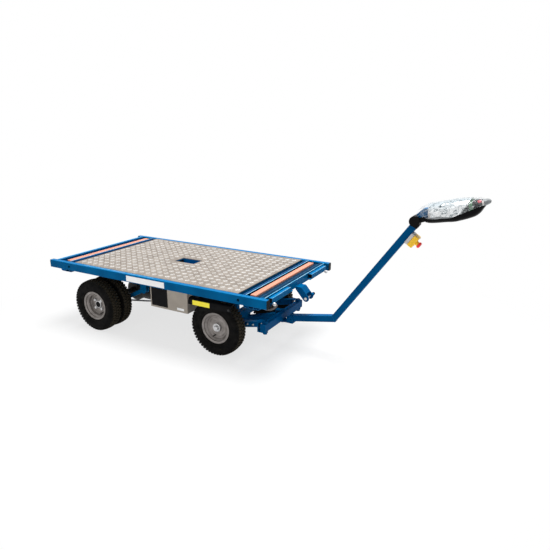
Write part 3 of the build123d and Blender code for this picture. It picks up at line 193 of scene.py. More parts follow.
def stoving_enamel(name, dark, light, painted_top_tone, rub_and_highlight):
    """Two-tone paint, with a painted top tone and paler edges, partly worn and partly painted highlight."""
    material, tree, shader, place = new_finish(name, Specular_IOR_Level=0.3, IOR=1.1)
    clouds = add(tree, "ShaderNodeTexNoise", {"Vector": place, "Scale": per_metre(TONE_MM), "Detail": 5.0})
    paint = add(tree, "ShaderNodeValToRGB", {"Fac": clouds}, stops=((0.3, dark), (0.7, light)))
    rounded = add(tree, "ShaderNodeBevel", {"Radius": EDGE_ROUND_MM * MM}, samples=4).outputs["Normal"]
    true_normal = add(tree, "ShaderNodeNewGeometry").outputs["Normal"]
    own_normal = add(tree, "ShaderNodeTexCoord").outputs["Normal"]
    upward = add(tree, "ShaderNodeSeparateXYZ", {"Vector": own_normal}).outputs["Z"]
    # The tops get a painted tone: a painted highlight on the frame and drawbar, painted shade on the
    # troughs.
    top = add(tree, "ShaderNodeMapRange", {"Value": upward, "From Min": 0.5, "From Max": 0.95})
    top_toned_paint = add(
        tree, "ShaderNodeMix",
        {FACTOR: top, COLOUR_A: paint, COLOUR_B: linear(painted_top_tone)},
        data_type="RGBA",
    )
    # Paler edges: partly wear, partly a painted highlight along the rounded edges.
    agree = add(tree, "ShaderNodeVectorMath", {0: rounded, 1: true_normal}, operation="DOT_PRODUCT")
    scuffs = add(tree, "ShaderNodeTexNoise", {"Vector": place, "Scale": per_metre(SCUFF_MM), "Detail": 4.0})
    edge = add(tree, "ShaderNodeMapRange", {"Value": agree, "From Min": 0.98, "From Max": 0.80})
    wear_and_highlight = add(tree, "ShaderNodeMath", {0: edge, 1: scuffs}, operation="MULTIPLY")
    colour = add(
        tree, "ShaderNodeMix",
        {FACTOR: wear_and_highlight, COLOUR_A: top_toned_paint, COLOUR_B: linear(rub_and_highlight)},
        data_type="RGBA",
    )
    feed(shader, {"Base Color": colour})
    gloss = add(tree, "ShaderNodeMapRange", {"Value": scuffs, "To Min": 0.28, "To Max": 0.42})
    feed(shader, {"Roughness": gloss})
    peel = add(tree, "ShaderNodeTexNoise", {"Vector": place, "Scale": per_metre(PEEL_MM), "Detail": 2.0})
    bump = add(
        tree, "ShaderNodeBump",
        {"Height": peel, "Distance": PEEL_DEPTH_MM * MM, "Strength": 0.25, "Normal": rounded},
    )
    feed(shader, {"Normal": bump})
    return material


# The frame's paint: a painted highlight on its tops, and paler edges that are partly wear and partly painted
# highlight.
finishes["blue_paint"] = stoving_enamel("blue_stoving_enamel", "#005080", "#00649A", "#0074B0", "#38BCF0")
# A darker copy of the frame's paint, painted shade, for the drawbar, the steering and the latch.
shaded_enamel = stoving_enamel("blue_stoving_enamel_painted_shade", "#004678", "#005488", "#006098", "#2498DA")
# The troughs' copy is darker as painted shade, darker still on its tops, with bright painted highlights on
# its edges.
trough_shaded_enamel = stoving_enamel("trough_enamel_painted_shade", "#00467A", "#005490", "#004478", "#78CCF2")
print("made", shaded_enamel.name, "and", trough_shaded_enamel.name)

# %% [markdown]
# The deck is rolled aluminium tread plate. Feet and loads polish the tops of the bars, while the low
# ground between them stays dull and a little brown with dust. Bars that lie across the light show less
# of it than bars that lie along it, so three finishes share one recipe: one for the plate, a bright one
# for one set of bars, polish with a painted highlight, and a duller copy for the other set, painted shade.
# Rolling leaves lines along the plate, so the bump is a noise stretched along X.

# %% Rolled aluminium, dull, and bars with painted highlight and painted shade
DUST_MM, HAZE_MM = 90, 7
ROLLING_MM = (60, 1.5, 8)
ROLLING_DEPTH_MM = 0.2


def rolled_aluminium(name, dark, light, low, high):
    """Aluminium in two tones whose roughness lies between two values."""
    material, tree, shader, place = new_finish(name, Metallic=0.85)
    dust = add(tree, "ShaderNodeTexNoise", {"Vector": place, "Scale": per_metre(DUST_MM), "Detail": 6.0})
    tone = add(tree, "ShaderNodeValToRGB", {"Fac": dust}, stops=((0.35, dark), (0.65, light)))
    feed(shader, {"Base Color": tone})
    haze = add(tree, "ShaderNodeTexNoise", {"Vector": place, "Scale": per_metre(HAZE_MM), "Detail": 3.0})
    rough = add(tree, "ShaderNodeMapRange", {"Value": haze, "To Min": low, "To Max": high})
    feed(shader, {"Roughness": rough})
    stretched = add(
        tree, "ShaderNodeMapping", {"Vector": place, "Scale": tuple(per_metre(size) for size in ROLLING_MM)}
    )
    rolling = add(tree, "ShaderNodeTexNoise", {"Vector": stretched, "Scale": 1.0})
    bump = add(
        tree, "ShaderNodeBump",
        {"Height": rolling, "Distance": ROLLING_DEPTH_MM * MM, "Strength": 0.3},
    )
    feed(shader, {"Normal": bump})
    return material


finishes["tread_aluminium"] = rolled_aluminium("rolled_aluminium_dull", "#8A8179", "#A2998F", 0.45, 0.62)
# The two bar finishes are lit and shaded copies: a painted highlight and painted shade.
lit_bar_finish = rolled_aluminium("rolled_aluminium_polished_painted_highlight", "#F4F1EC", "#FFFFFF", 0.2, 0.32)
shaded_bar_finish = rolled_aluminium("rolled_aluminium_painted_shade", "#A79E95", "#BDB5AD", 0.34, 0.5)
print("made", lit_bar_finish.name, "and", shaded_bar_finish.name)

# %% [markdown]
# The two strips are planed softwood. Its grain runs along the strip, so a wave texture is stretched along
# Y, and its darker stops are the late wood.

# %% Planed softwood
GRAIN_MM = (14, 420, 14)
GRAIN_DEPTH_MM = 0.4
material, tree, shader, place = new_finish("planed_softwood", Roughness=0.55)
along_grain = add(
    tree, "ShaderNodeMapping", {"Vector": place, "Scale": tuple(per_metre(size) for size in GRAIN_MM)}
)
rings = add(
    tree, "ShaderNodeTexWave",
    {"Vector": along_grain, "Scale": 0.35, "Distortion": 3.5, "Detail": 3.0,
     "Detail Scale": 1.2},
).outputs["Fac"]
wood = add(
    tree, "ShaderNodeValToRGB", {"Fac": rings}, stops=((0.0, "#CC7C5E"), (0.35, "#E09478"), (1.0, "#ECAA90"))
)
feed(shader, {"Base Color": wood})
bump = add(tree, "ShaderNodeBump", {"Height": rings, "Distance": GRAIN_DEPTH_MM * MM, "Strength": 0.4})
feed(shader, {"Normal": bump})
finishes["timber"] = material
print("made", material.name)

# %% [markdown]
# Moulded plastics, painted sheet, cast iron and rubber differ mostly in colour, gloss and grit. One
# recipe covers them: two tones mixed by large soft clouds, and a fine grain in the height. The grain
# of moulded plastic is under a millimetre, too fine for the picture, so it is drawn at 2 mm or more.

# %% Plain finishes with clouds and grain
def clouded(name, dark, light, cloud_mm, grain_mm, depth_mm, **values):
    """Two tones in clouds of one size, with a grain of another size and a depth."""
    material, tree, shader, place = new_finish(name, **values)
    clouds = add(tree, "ShaderNodeTexNoise", {"Vector": place, "Scale": per_metre(cloud_mm), "Detail": 5.0})
    tone = add(tree, "ShaderNodeValToRGB", {"Fac": clouds}, stops=((0.36, dark), (0.64, light)))
    feed(shader, {"Base Color": tone})
    grain = add(tree, "ShaderNodeTexNoise", {"Vector": place, "Scale": per_metre(grain_mm), "Detail": 2.0})
    bump = add(tree, "ShaderNodeBump", {"Height": grain, "Distance": depth_mm * MM, "Strength": 0.5})
    feed(shader, {"Normal": bump})
    return material


finishes["box_paint"] = clouded("beige_enamel_sheet", "#A0968A", "#B0A699", 120, 5, 0.2, Roughness=0.42)
finishes["battery_case"] = clouded("battery_case_plastic", "#141414", "#1E1E1E", 80, 3, 0.2, Roughness=0.6)
finishes["black_plastic"] = clouded(
    "black_moulded_plastic", "#08080A", "#111112", 60, 2.5, 0.2, Roughness=0.42, Specular_IOR_Level=0.3,
    IOR=1.2,
)
finishes["grey_plastic"] = clouded(
    "grey_moulded_plastic", "#C2BCB8", "#D0CAC6", 50, 2.5, 0.15, Roughness=0.45
)
finishes["yellow_plastic"] = clouded(
    "yellow_moulded_plastic", "#FFC60C", "#FFD22A", 40, 2.5, 0.1, Roughness=0.35
)
finishes["red_plastic"] = clouded("red_moulded_plastic", "#F02428", "#FF3A36", 30, 2.5, 0.1, Roughness=0.3)
finishes["axle_iron"] = clouded("cast_iron_painted", "#18181A", "#2B2A29", 45, 4, 0.6, Roughness=0.62)
finishes["bright_steel"] = clouded(
    "zinc_plated_steel", "#B4B4B6", "#D2D2D2", 25, 3, 0.1, Metallic=0.9, Roughness=0.34
)
finishes["rim_paint"] = clouded(
    "silver_enamel_rim", "#746E6A", "#928C88", 55, 5, 0.15, Metallic=0.45, Roughness=0.38
)
label_white = clouded("white_label_film", "#FAFBFC", "#FFFFFF", 60, 3, 0.05, Roughness=0.4)
label_yellow = clouded("yellow_label_film", "#FBE81C", "#FFF030", 40, 3, 0.05, Roughness=0.4)
# A dark slate sheet that stands for shade: painted shade.
slate_painted_shade = clouded(
    "slate_painted_shade_sheet", "#123048", "#1C3E58", 40, 4, 0.3, Roughness=0.75, Specular_IOR_Level=0.2, IOR=1.15
)
# Pale blue for the strips that stand for edge highlights: painted highlight.
painted_edge_highlight = clouded("enamel_painted_edge_highlight", "#5CC4EC", "#B4E4F4", 60, 5, 0.05, Roughness=0.5)
crimson_plastic = clouded("crimson_moulded_plastic", "#A8142C", "#C0203C", 30, 2.5, 0.1, Roughness=0.35)
green_plastic = clouded("green_moulded_plastic", "#1F5A34", "#2C6E42", 30, 2.5, 0.1, Roughness=0.35)
# Rubbed black plastic for the tip, also used as the painted highlight on the shell's seam.
rubbed_black_and_highlight = clouded("black_plastic_rubbed_and_painted_highlight", "#7C8184", "#9A9EA0", 25, 2.5, 0.1, Roughness=0.4)
print("made", len(finishes), "finishes for the record's slots")

# %% [markdown]
# The tyres' rubber starts from the same recipe. Their treads carry pale road dust and a painted
# highlight, so the rubber gets lighter where its own normal doesn't point along the axle.

# %% Dusty tyre rubber with a painted highlight on the tread
finishes["tyre_rubber"] = clouded(
    "tyre_rubber_dust_and_highlight", "#0C0C0C", "#1A1918", 35, 3, 0.4, Roughness=0.8, Specular_IOR_Level=0.25, IOR=1.2
)
tree = finishes["tyre_rubber"].node_tree
shader = tree.nodes["Principled BSDF"]
clean_rubber = shader.inputs["Base Color"].links[0].from_socket
own_normal = add(tree, "ShaderNodeTexCoord").outputs["Normal"]
sideways = add(tree, "ShaderNodeSeparateXYZ", {"Vector": own_normal}).outputs["Y"]
sideways = add(tree, "ShaderNodeMath", {0: sideways}, operation="ABSOLUTE").outputs["Value"]
# The tread is lighter, partly road dust and partly a painted highlight.
dust_and_highlight_mask = add(
    tree, "ShaderNodeMapRange",
    {"Value": sideways, "From Min": 0.35, "From Max": 0.7, "To Min": 0.85, "To Max": 0.0},
)
dust = add(
    tree, "ShaderNodeMix",
    {FACTOR: dust_and_highlight_mask, COLOUR_A: clean_rubber, COLOUR_B: linear("#3E392F")}, data_type="RGBA",
)
feed(shader, {"Base Color": dust})
print("made", finishes["tyre_rubber"].name)

# %% [markdown]
# The bag is thin clear polythene. Light goes through it, yet each crease catches a bright line and the
# crushed parts look milky. The sheet itself will carry two attributes: how milky it is at each place, and
# where it lies on the crown of the head, which is darkened there as painted shade. A noise breaks the milk
# up, and the middle value of a second one draws thin dark fold lines, painted reflections of the creases.

# %% Clear polythene film
CRUSH_MM, FOLD_MM, RIPPLE_MM = 40, 48, 20
RIPPLE_DEPTH_MM = 2.0
material, tree, shader, place = new_finish("clear_polythene_film", Roughness=0.14, Coat_Weight=0.5)
milky = add(tree, "ShaderNodeAttribute", attribute_name="milky")
crush = add(tree, "ShaderNodeTexNoise", {"Vector": place, "Scale": per_metre(CRUSH_MM), "Detail": 3.0})
uneven = add(
    tree, "ShaderNodeMapRange",
    {"Value": crush, "From Min": 0.35, "From Max": 0.65, "To Min": -0.10, "To Max": 0.14},
)
cover = add(tree, "ShaderNodeMath", {0: milky.outputs["Fac"], 1: uneven}, operation="ADD", use_clamp=True)
feed(shader, {"Alpha": cover})
folds = add(
    tree, "ShaderNodeTexNoise",
    {"Vector": place, "Scale": per_metre(FOLD_MM), "Detail": 2.0, "Distortion": 1.5},
)
middle = add(tree, "ShaderNodeMath", {0: folds, 1: 0.5}, operation="SUBTRACT")
line = add(tree, "ShaderNodeMath", {0: middle}, operation="ABSOLUTE")
# The dark stops are painted reflections along the folds.
painted_fold_reflections = add(
    tree, "ShaderNodeValToRGB", {"Fac": line},
    stops=((0.0, "#343E42"), (0.016, "#A4B0B5"), (0.036, "#F0F5F7"), (0.2, "#FCFEFF")),
)
# Where the film lies on the crown, its colour is darkened as painted shade.
crown = add(tree, "ShaderNodeAttribute", attribute_name="crown")
top_shaded = add(
    tree, "ShaderNodeMix",
    {FACTOR: crown.outputs["Fac"], COLOUR_A: painted_fold_reflections, COLOUR_B: linear("#C2CBD0")},
    data_type="RGBA", blend_type="MULTIPLY",
)
feed(shader, {"Base Color": top_shaded})
ripple = add(tree, "ShaderNodeTexNoise", {"Vector": place, "Scale": per_metre(RIPPLE_MM), "Detail": 2.0})
bump = add(tree, "ShaderNodeBump", {"Height": ripple, "Distance": RIPPLE_DEPTH_MM * MM, "Strength": 0.3})
feed(shader, {"Normal": bump})
finishes["clear_film"] = material
print("made", material.name)

# %% [markdown]
# Every CAD node gets the finish of its record slot. The imported record lists which slot each node has.
# The exceptions are the steering, the drawbar and the latch, which get a darker copy of the frame's
# enamel as painted shade, and the troughs, whose copy is painted shade too, darker where they face up,
# with painted highlights on their edges.

# %% Finish the CAD nodes
SHADED_BLUE_PARTS = (
    "drawbar_latch", "drawbar_head", "tie_bar", "drawbar_lower_tube", "drawbar_upper_tube",
    "steering_lever_right", "steering_lever_left", "knuckle_right", "knuckle_left",
)
for subpart in frame["record"]["subparts"]:
    node = frame["nodes"][subpart["node"]]
    node.data.materials.clear()
    node.data.materials.append(finishes[subpart["material_slot"]])
# The troughs' enamel is painted shade, with painted highlights on the edges.
frame["nodes"]["end_troughs"].data.materials[0] = trough_shaded_enamel
# The darker copy on these parts is painted shade.
for name in SHADED_BLUE_PARTS:
    frame["nodes"][name].data.materials[0] = shaded_enamel

# %% [markdown]
# ## Making pieces
# A new piece starts as a bmesh. `keep_shape` turns a small bmesh into a mesh that can be stamped many
# times, `stamp` adds it to a larger bmesh at a place, and `make_piece` closes the work: it merges
# doubles, turns the faces outwards, and lets the object ride on its body.

# %% Piece helpers
CREASE = math.radians(34)


def keep_shape(bm, name="shape"):
    """The bmesh as a plain mesh with its doubles merged and its faces turned outwards."""
    bmesh.ops.remove_doubles(bm, verts=bm.verts, dist=1e-6)
    bmesh.ops.recalc_face_normals(bm, faces=bm.faces)
    shape = bpy.data.meshes.new(name)
    bm.to_mesh(shape)
    bm.free()
    return shape


def stamp(bm, shape, matrix):
    """Add a shape to a bmesh at a place."""
    placed_shape = shape.copy()
    placed_shape.transform(matrix)
    bm.from_mesh(placed_shape)
    bpy.data.meshes.remove(placed_shape)


def placed(*stamps):
    """A new bmesh with every (shape, matrix) pair stamped into it."""
    bm = bmesh.new()
    for shape, matrix in stamps:
        stamp(bm, shape, matrix)
    return bm


def make_piece(name, bm, body, slot=None, finish=None, stands_for=None):
    """The finished object of a bmesh, riding on its body, in its slot's finish unless one is given."""
    mesh = keep_shape(bm, name)
    mesh.shade_smooth()
    mesh.set_sharp_from_angle(angle=CREASE)
    mesh.materials.append(finish or finishes[slot])
    piece = bpy.data.objects.new(name, mesh)
    bpy.context.scene.collection.objects.link(piece)
    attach(piece, body)
    if stands_for:
        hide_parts(stands_for)
    print(name, "has", sum(len(face.vertices) - 2 for face in mesh.polygons), "triangles")
    return piece


print("piece helpers ready")

# %% [markdown]
# Most small parts are turned, sawn from flat stock, or bolts. A turned shape is a profile spun about Z. A
# profile that starts on the axis is left open there, and any other one is a closed section, as of a tyre.

# %% Places and common shapes
WASHER = 2.0


def shifted(x, y, z):
    """A move in millimetres."""
    return Matrix.Translation((x * MM, y * MM, z * MM))


def facing(point, direction, upright=(0, 0, 1)):
    """The matrix that stands a shape on a point with its Z along a direction and its Y near upright."""
    z = Vector(direction).normalized()
    x = Vector(upright).cross(z)
    x = x.normalized() if x.length > 1e-6 else Vector((1, 0, 0))
    turn = Matrix((x, z.cross(x), z)).transposed().to_4x4()
    return Matrix.Translation(point) @ turn


def turned(profile, steps):
    """A shape spun about Z from points of (radius, height) in millimetres."""
    bm = bmesh.new()
    verts = [bm.verts.new((radius * MM, 0, height * MM)) for radius, height in profile]
    on_axis = profile[0][0] == 0
    ends = verts[1:] if on_axis else verts[1:] + verts[:1]
    edges = [bm.edges.new(pair) for pair in zip(verts, ends)]
    bmesh.ops.spin(
        bm, geom=verts + edges, cent=(0, 0, 0), axis=(0, 0, 1), angle=2 * math.pi, steps=steps,
        use_merge=True,
    )
    return keep_shape(bm)


def round_edges(bm, offset, segments):
    """Bevel every edge of a bmesh by an offset in millimetres."""
    bmesh.ops.bevel(
        bm, geom=bm.edges[:], offset=offset * MM, affect="EDGES", segments=segments, profile=0.5, material=-1
    )


def rounded_box(x, y, z, corner, segments=2):
    """A box between (low, high) pairs in millimetres, with all its edges rounded."""
    bm = bmesh.new()
    size = [(high - low) * MM for low, high in (x, y, z)]
    middle = [(high + low) / 2 * MM for low, high in (x, y, z)]
    bmesh.ops.create_cube(bm, size=1)
    bmesh.ops.scale(bm, vec=size, verts=bm.verts)
    bmesh.ops.translate(bm, vec=middle, verts=bm.verts)
    round_edges(bm, corner, segments)
    return keep_shape(bm)


def hex_bolt(across, height):
    """A hexagon head on a washer, standing on its own origin."""
    bm = bmesh.new()
    corner = across / 2 / math.cos(math.pi / 6) * MM
    bmesh.ops.create_cone(
        bm, cap_ends=True, segments=6, radius1=corner, radius2=corner, depth=height * MM,
        matrix=shifted(0, 0, WASHER + height / 2),
    )
    round_edges(bm, 0.07 * across, 1)
    bmesh.ops.create_cone(
        bm, cap_ends=True, segments=20, radius1=1.18 * corner, radius2=1.1 * corner, depth=WASHER * MM,
        matrix=shifted(0, 0, WASHER / 2),
    )
    return keep_shape(bm)


print("common shapes ready")

# %% [markdown]
# ## Tread bars on the deck
# Tread plate carries groups of five short bars, turned by a right angle from one group to the next.
# On this deck the groups repeat every 60 mm and lie at 45 degrees to its edges. The bars could be drawn
# as bump, but real bars throw the small shadows that the photograph shows. One lens-shaped bar is made,
# and five of them make a group.

# %% One group of tread bars
BAR_LENGTH, BAR_WIDTH, BAR_HEIGHT = 31.0, 5.4, 2.0
BAR_SPACING = 6.6
BAR_SINK = 0.2
CROWN_LENGTH, CROWN_WIDTH = 0.88, 0.68

bar = bmesh.new()
bmesh.ops.create_circle(bar, cap_ends=True, segments=8, radius=0.5 * MM)
bmesh.ops.scale(bar, vec=(BAR_LENGTH, BAR_WIDTH, 1), verts=bar.verts)
raised = bmesh.ops.extrude_face_region(bar, geom=bar.faces[:])
crown = [v for v in raised["geom"] if isinstance(v, bmesh.types.BMVert)]
bmesh.ops.translate(bar, vec=(0, 0, (BAR_HEIGHT + BAR_SINK) * MM), verts=crown)
bmesh.ops.scale(bar, vec=(CROWN_LENGTH, CROWN_WIDTH, 1), verts=crown)
bar_shape = keep_shape(bar)
bar_places = [shifted(0, row * BAR_SPACING, -BAR_SINK) for row in range(-2, 3)]
bar_group = keep_shape(placed(*((bar_shape, place) for place in bar_places)))
print("a group has", len(bar_group.polygons), "faces")

# %% [markdown]
# The groups stand on a lattice of two kinds of points, those on whole pitches and those between them. A
# loop goes through both in half pitches, and leaves out what would reach over the deck's edge or its hatch.

# %% Stamp the groups
PITCH_MM = 60.0
EDGE_MARGIN = 17.0 * MM
WHOLE_TURN, BETWEEN_TURN = math.radians(135), math.radians(45)

deck_low, deck_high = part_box("deck_plate")
pocket_low, pocket_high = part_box("deck_pocket")
deck_middle = (deck_low + deck_high) / 2
columns = int((deck_high.x - deck_low.x) / 2 / (PITCH_MM * MM)) + 1
rows = int((deck_high.y - deck_low.y) / 2 / (PITCH_MM * MM)) + 1
whole, between_them = bmesh.new(), bmesh.new()


def inside(low, high, margin, x, y):
    """Whether a point lies between two corners that are moved outwards by a margin."""
    return low.x - margin < x < high.x + margin and low.y - margin < y < high.y + margin


for half_column in range(-2 * columns, 2 * columns + 1):
    for half_row in range(-2 * rows, 2 * rows + 1):
        if half_column % 2 != half_row % 2:
            continue
        x = deck_middle.x + half_column * PITCH_MM / 2 * MM
        y = deck_middle.y + half_row * PITCH_MM / 2 * MM
        on_deck = inside(deck_low, deck_high, -EDGE_MARGIN, x, y)
        if not on_deck or inside(pocket_low, pocket_high, EDGE_MARGIN, x, y):
            continue
        bars, turn = (between_them, BETWEEN_TURN) if half_column % 2 else (whole, WHOLE_TURN)
        stamp(bars, bar_group, Matrix.Translation((x, y, DECK_TOP)) @ Matrix.Rotation(turn, 4, "Z"))
# One set of bars takes the painted highlight, the other the painted shade.
make_piece("deck_tread_bars", whole, "chassis", "tread_aluminium", lit_bar_finish)
make_piece("deck_tread_cross_bars", between_them, "chassis", "tread_aluminium", shaded_bar_finish)

# %% [markdown]
# ## Tyres
# The tyres are round-shouldered road tyres with small blocks whose ends break the edge into fine teeth.
# The carcass is one closed section spun round the axle. The blocks are small boxes with slanted ends,
# stamped in three rows round it, the outer rows half a pitch behind the middle one.

# %% Tyre carcass and tread blocks
LUGS = 52
FIRST_LUG = -math.pi / 2
TYRE_RADIUS, TREAD_FLOOR = 207.0, 200.2
BLOCK_LENGTH, BLOCK_ROOT, BLOCK_SLANT, BLOCK_CORNER = 15, 18.5, 3, 0.9
SIDE_WALL = (
    # radius, distance from the tyre's middle plane
    (101.9, 35.6), (112, 35.8), (117.5, 38), (122, 41.5), (126, 44.5), (127, 46.4), (130, 46.8),
    (131, 45.6), (138, 48.5), (147, 51), (156, 52), (165, 51.6), (174, 49.6), (182, 46.4), (188, 43),
    (192.5, 39.5), (196, 35), (198.5, 29), (199.6, 22),
)


def tread_block(side_low, side_high, top_low, top_high, foot):
    """One rubber block: its ends, the radius of its top at both ends, and the radius of its root."""
    bm = bmesh.new()
    bmesh.ops.create_cube(bm, size=2)
    for vert in bm.verts:
        top, outer = vert.co.x > 0, vert.co.z > 0
        half = (BLOCK_LENGTH if top else BLOCK_ROOT) / 2
        radius = (top_high if outer else top_low) if top else foot
        offset = (side_high if top else side_high + BLOCK_SLANT) if outer else side_low
        vert.co = (radius * MM, math.copysign(half, vert.co.y) * MM, offset * MM)
    round_edges(bm, BLOCK_CORNER, 1)
    return keep_shape(bm)


carcass = turned([*SIDE_WALL, (TREAD_FLOOR, 0), *[(r, -h) for r, h in reversed(SIDE_WALL)]], 78)
shoulder_block = tread_block(14.5, 41.5, TYRE_RADIUS - 0.4, 203, 188)
centre_block = tread_block(-11.5, 11.5, TYRE_RADIUS, TYRE_RADIUS, 197)
tyre_work = placed((carcass, Matrix.Identity(4)))
half_pitch = Matrix.Rotation(math.pi / LUGS, 4, "Z")
other_side = Matrix.Rotation(math.pi, 4, "X")
for lug in range(LUGS):
    turn = Matrix.Rotation(FIRST_LUG + 2 * math.pi * lug / LUGS, 4, "Z")
    stamp(tyre_work, centre_block, turn)
    stamp(tyre_work, shoulder_block, turn @ half_pitch)
    stamp(tyre_work, shoulder_block, turn @ half_pitch @ other_side)
tyre_shape = keep_shape(tyre_work)
print("one tyre has", len(tyre_shape.polygons), "faces")

# %% [markdown]
# ## Rims
# A small pressed rim has a rolled flange, a bead seat, a drop centre and a disc set back in the barrel.
# It is again one closed section spun round the axle. The rear discs sit deeper, so the dish is a value.

# %% Rim sections
RIM_HALF = 40.0
FLANGE, SEAT, WELL, WALL = 115.0, 101.6, 88.0, 4.0
DISC_SHEET = 5.0
FRONT_DISC, REAR_DISC = 10.0, -7.0
FRONT_HUB_HOLE, REAR_HUB_HOLE = 32.3, 30.3


def pressed_rim(disc, hub_hole):
    """A rim whose disc lies at a height over the middle plane, with a hole for its hub."""
    lip = RIM_HALF - WALL
    inside_seat, inside_well = SEAT - WALL, WELL - WALL
    outer_edge = [
        (FLANGE - 1.5, RIM_HALF), (FLANGE - 0.4, RIM_HALF - 0.6), (FLANGE, RIM_HALF - 1.8),
        (FLANGE - 0.4, lip + 0.6), (FLANGE - 2, lip), (SEAT + 3, lip), (SEAT + 0.8, lip - 1),
        (SEAT, lip - 3), (SEAT, 24), (SEAT - 2, 22), (WELL + 2, 17), (WELL, 15),
    ]
    barrel = [
        (inside_well, -17), (inside_seat - 2, -25), (inside_seat, -28), (inside_seat, -lip),
        (FLANGE - 7, -RIM_HALF),
    ]
    outer_barrel = [
        (FLANGE - 9, RIM_HALF), (FLANGE - 11, RIM_HALF - 0.8), (inside_seat + 1.5, lip + 1),
        (inside_seat, lip - 1.5), (inside_seat, 28), (inside_seat - 2, 25.5), (inside_well + 1, 18),
        (inside_well, 16), (inside_well, disc + 6), (inside_well - 2, disc + 2), (inside_well - 6, disc),
    ]
    face = [(72, disc), (69, disc + 2.4), (64, disc + 3), (56, disc + 3), (51, disc + 2.4), (48, disc)]
    back = [(radius, height - DISC_SHEET) for radius, height in face]
    inner_edge = [(radius, -height) for radius, height in reversed(outer_edge)]
    section = [*outer_edge, *inner_edge, *reversed(barrel), (inside_well, disc - DISC_SHEET), *back]
    section += [(hub_hole, disc - DISC_SHEET), (hub_hole, disc), *reversed(face), *reversed(outer_barrel)]
    return turned(section, 72)


front_rim = pressed_rim(FRONT_DISC, FRONT_HUB_HOLE)
rear_rim = pressed_rim(REAR_DISC, REAR_HUB_HOLE)
print("rims have", len(front_rim.polygons), "faces")

# %% [markdown]
# Each wheel looks outwards from the cart, so its shapes are stamped with their Z axis to that side. A
# front hub is a boss with the axle's nut on it, and a valve leans out of the disc.

# %% Front wheels
OUTWARD = {"right": Vector((0, -1, 0)), "left": Vector((0, 1, 0))}
BOSS_OUT, AXLE_NUT_OUT = 10.0, 22.5
FRONT_VALVE = (253, 66, 9)
valve = turned([(0, 0), (4.6, 0), (4.6, 8), (3.4, 10), (3.2, 24), (4, 25), (4, 31), (3, 33), (0, 33)], 14)
front_boss = turned(
    [(0, 12.5), (9, 12.5), (11, 15.5), (24, 15.5), (27, 17.5), (30.5, 15.5), (32, 12), (32, -40), (0, -40)],
    48,
)
axle_nut = hex_bolt(30, 13)


def wheel_middle(node):
    """The middle of a wheel's node."""
    low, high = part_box(node)
    return (low + high) / 2


def on_disc(degrees, radius, height):
    """A spot on a wheel: turned round its axle, out from it, and over its middle plane."""
    return Matrix.Rotation(math.radians(degrees), 4, "Z") @ shifted(radius, 0, height)


for side, out in OUTWARD.items():
    wheel = facing(wheel_middle(f"front_rim_{side}"), out)
    hub = placed(
        (front_boss, wheel @ shifted(0, 0, BOSS_OUT)), (axle_nut, wheel @ shifted(0, 0, AXLE_NUT_OUT))
    )
    for name, work, slot, node in (
        ("tyre_front", placed((tyre_shape, wheel)), "tyre_rubber", f"front_tyre_{side}"),
        ("rim_front", placed((front_rim, wheel)), "rim_paint", f"front_rim_{side}"),
        ("hub_front", hub, "bright_steel", f"front_hub_{side}"),
        ("valve_front", placed((valve, wheel @ on_disc(*FRONT_VALVE))), "black_plastic", None),
    ):
        make_piece(f"{name}_{side}", work, f"front_wheel_{side}", slot, stands_for=node)

# %% [markdown]
# The twin rear rims face away from each other, and the inner one is the outer one turned round. They
# share one hub, a drum between the two discs with a half shaft that runs into the axle. A turned shaft of
# flat facets would touch a bore of its own size as it spins, so its radius is 0.6 mm less than the
# solid's. Four nuts hold the outer disc, and a dark cap in the middle is painted shade of the hub's hole.

# %% Rear wheels
TWIN_SPACING = 118.0
SHAFT_RADIUS, SHAFT_END = 17.4, -195.0
NUT_CIRCLE, NUT_SINK = 46.0, 0.2
SHADE_CAP_OUT = 3.2
REAR_VALVE = (300, 76, -9)
wheel_nut = hex_bolt(22, 10)
hub_shade_cap = turned([(0, 0.2), (17, 0.4), (21, 1.8), (23, 1.2), (24, -0.5), (24, -4), (0, -4)], 40)
rear_drum = turned(
    [(0, 62), (27.5, 62), (30, 60), (30, 47), (57, 47), (60, 44), (60, -44), (57, -47), (30, -47), (30, -62),
     (SHAFT_RADIUS, -62), (SHAFT_RADIUS, SHAFT_END), (0, SHAFT_END)], 48,
)
for side, out in OUTWARD.items():
    middle = wheel_middle(f"rear_tyres_{side}")
    outer = facing(middle + out * TWIN_SPACING / 2 * MM, out)
    inner = facing(middle - out * TWIN_SPACING / 2 * MM, -out)
    tyres = placed((tyre_shape, outer), (tyre_shape, inner))
    nuts = [on_disc(45 + 90 * quarter, NUT_CIRCLE, REAR_DISC - NUT_SINK) for quarter in range(4)]
    # The dark cap is painted shade in the middle of the hub.
    cap = placed((hub_shade_cap, outer @ shifted(0, 0, SHADE_CAP_OUT)), (valve, outer @ on_disc(*REAR_VALVE)))
    for name, work, slot, node in (
        ("tyres_rear", tyres, "tyre_rubber", f"rear_tyres_{side}"),
        ("rims_rear", placed((rear_rim, outer), (rear_rim, inner)), "rim_paint", f"rear_rims_{side}"),
        ("hub_rear", placed((rear_drum, facing(middle, out))), "bright_steel", f"rear_hub_{side}"),
        ("wheel_nuts_rear", placed(*((wheel_nut, outer @ nut) for nut in nuts)), "bright_steel", None),
        ("hub_cap_rear", cap, "black_plastic", None),
    ):
        make_piece(f"{name}_{side}", work, f"rear_wheels_{side}", slot, stands_for=node)

# %% [markdown]
# ## Labels and panels
# The cart carries a white label on each beam, a yellow one on each guard, and a dark panel and a small
# sticker on each battery box. They are blank. Printed film is a few tenths of a millimetre thick, so each
# label is a very thin box on its wall, and the panel a thicker one.

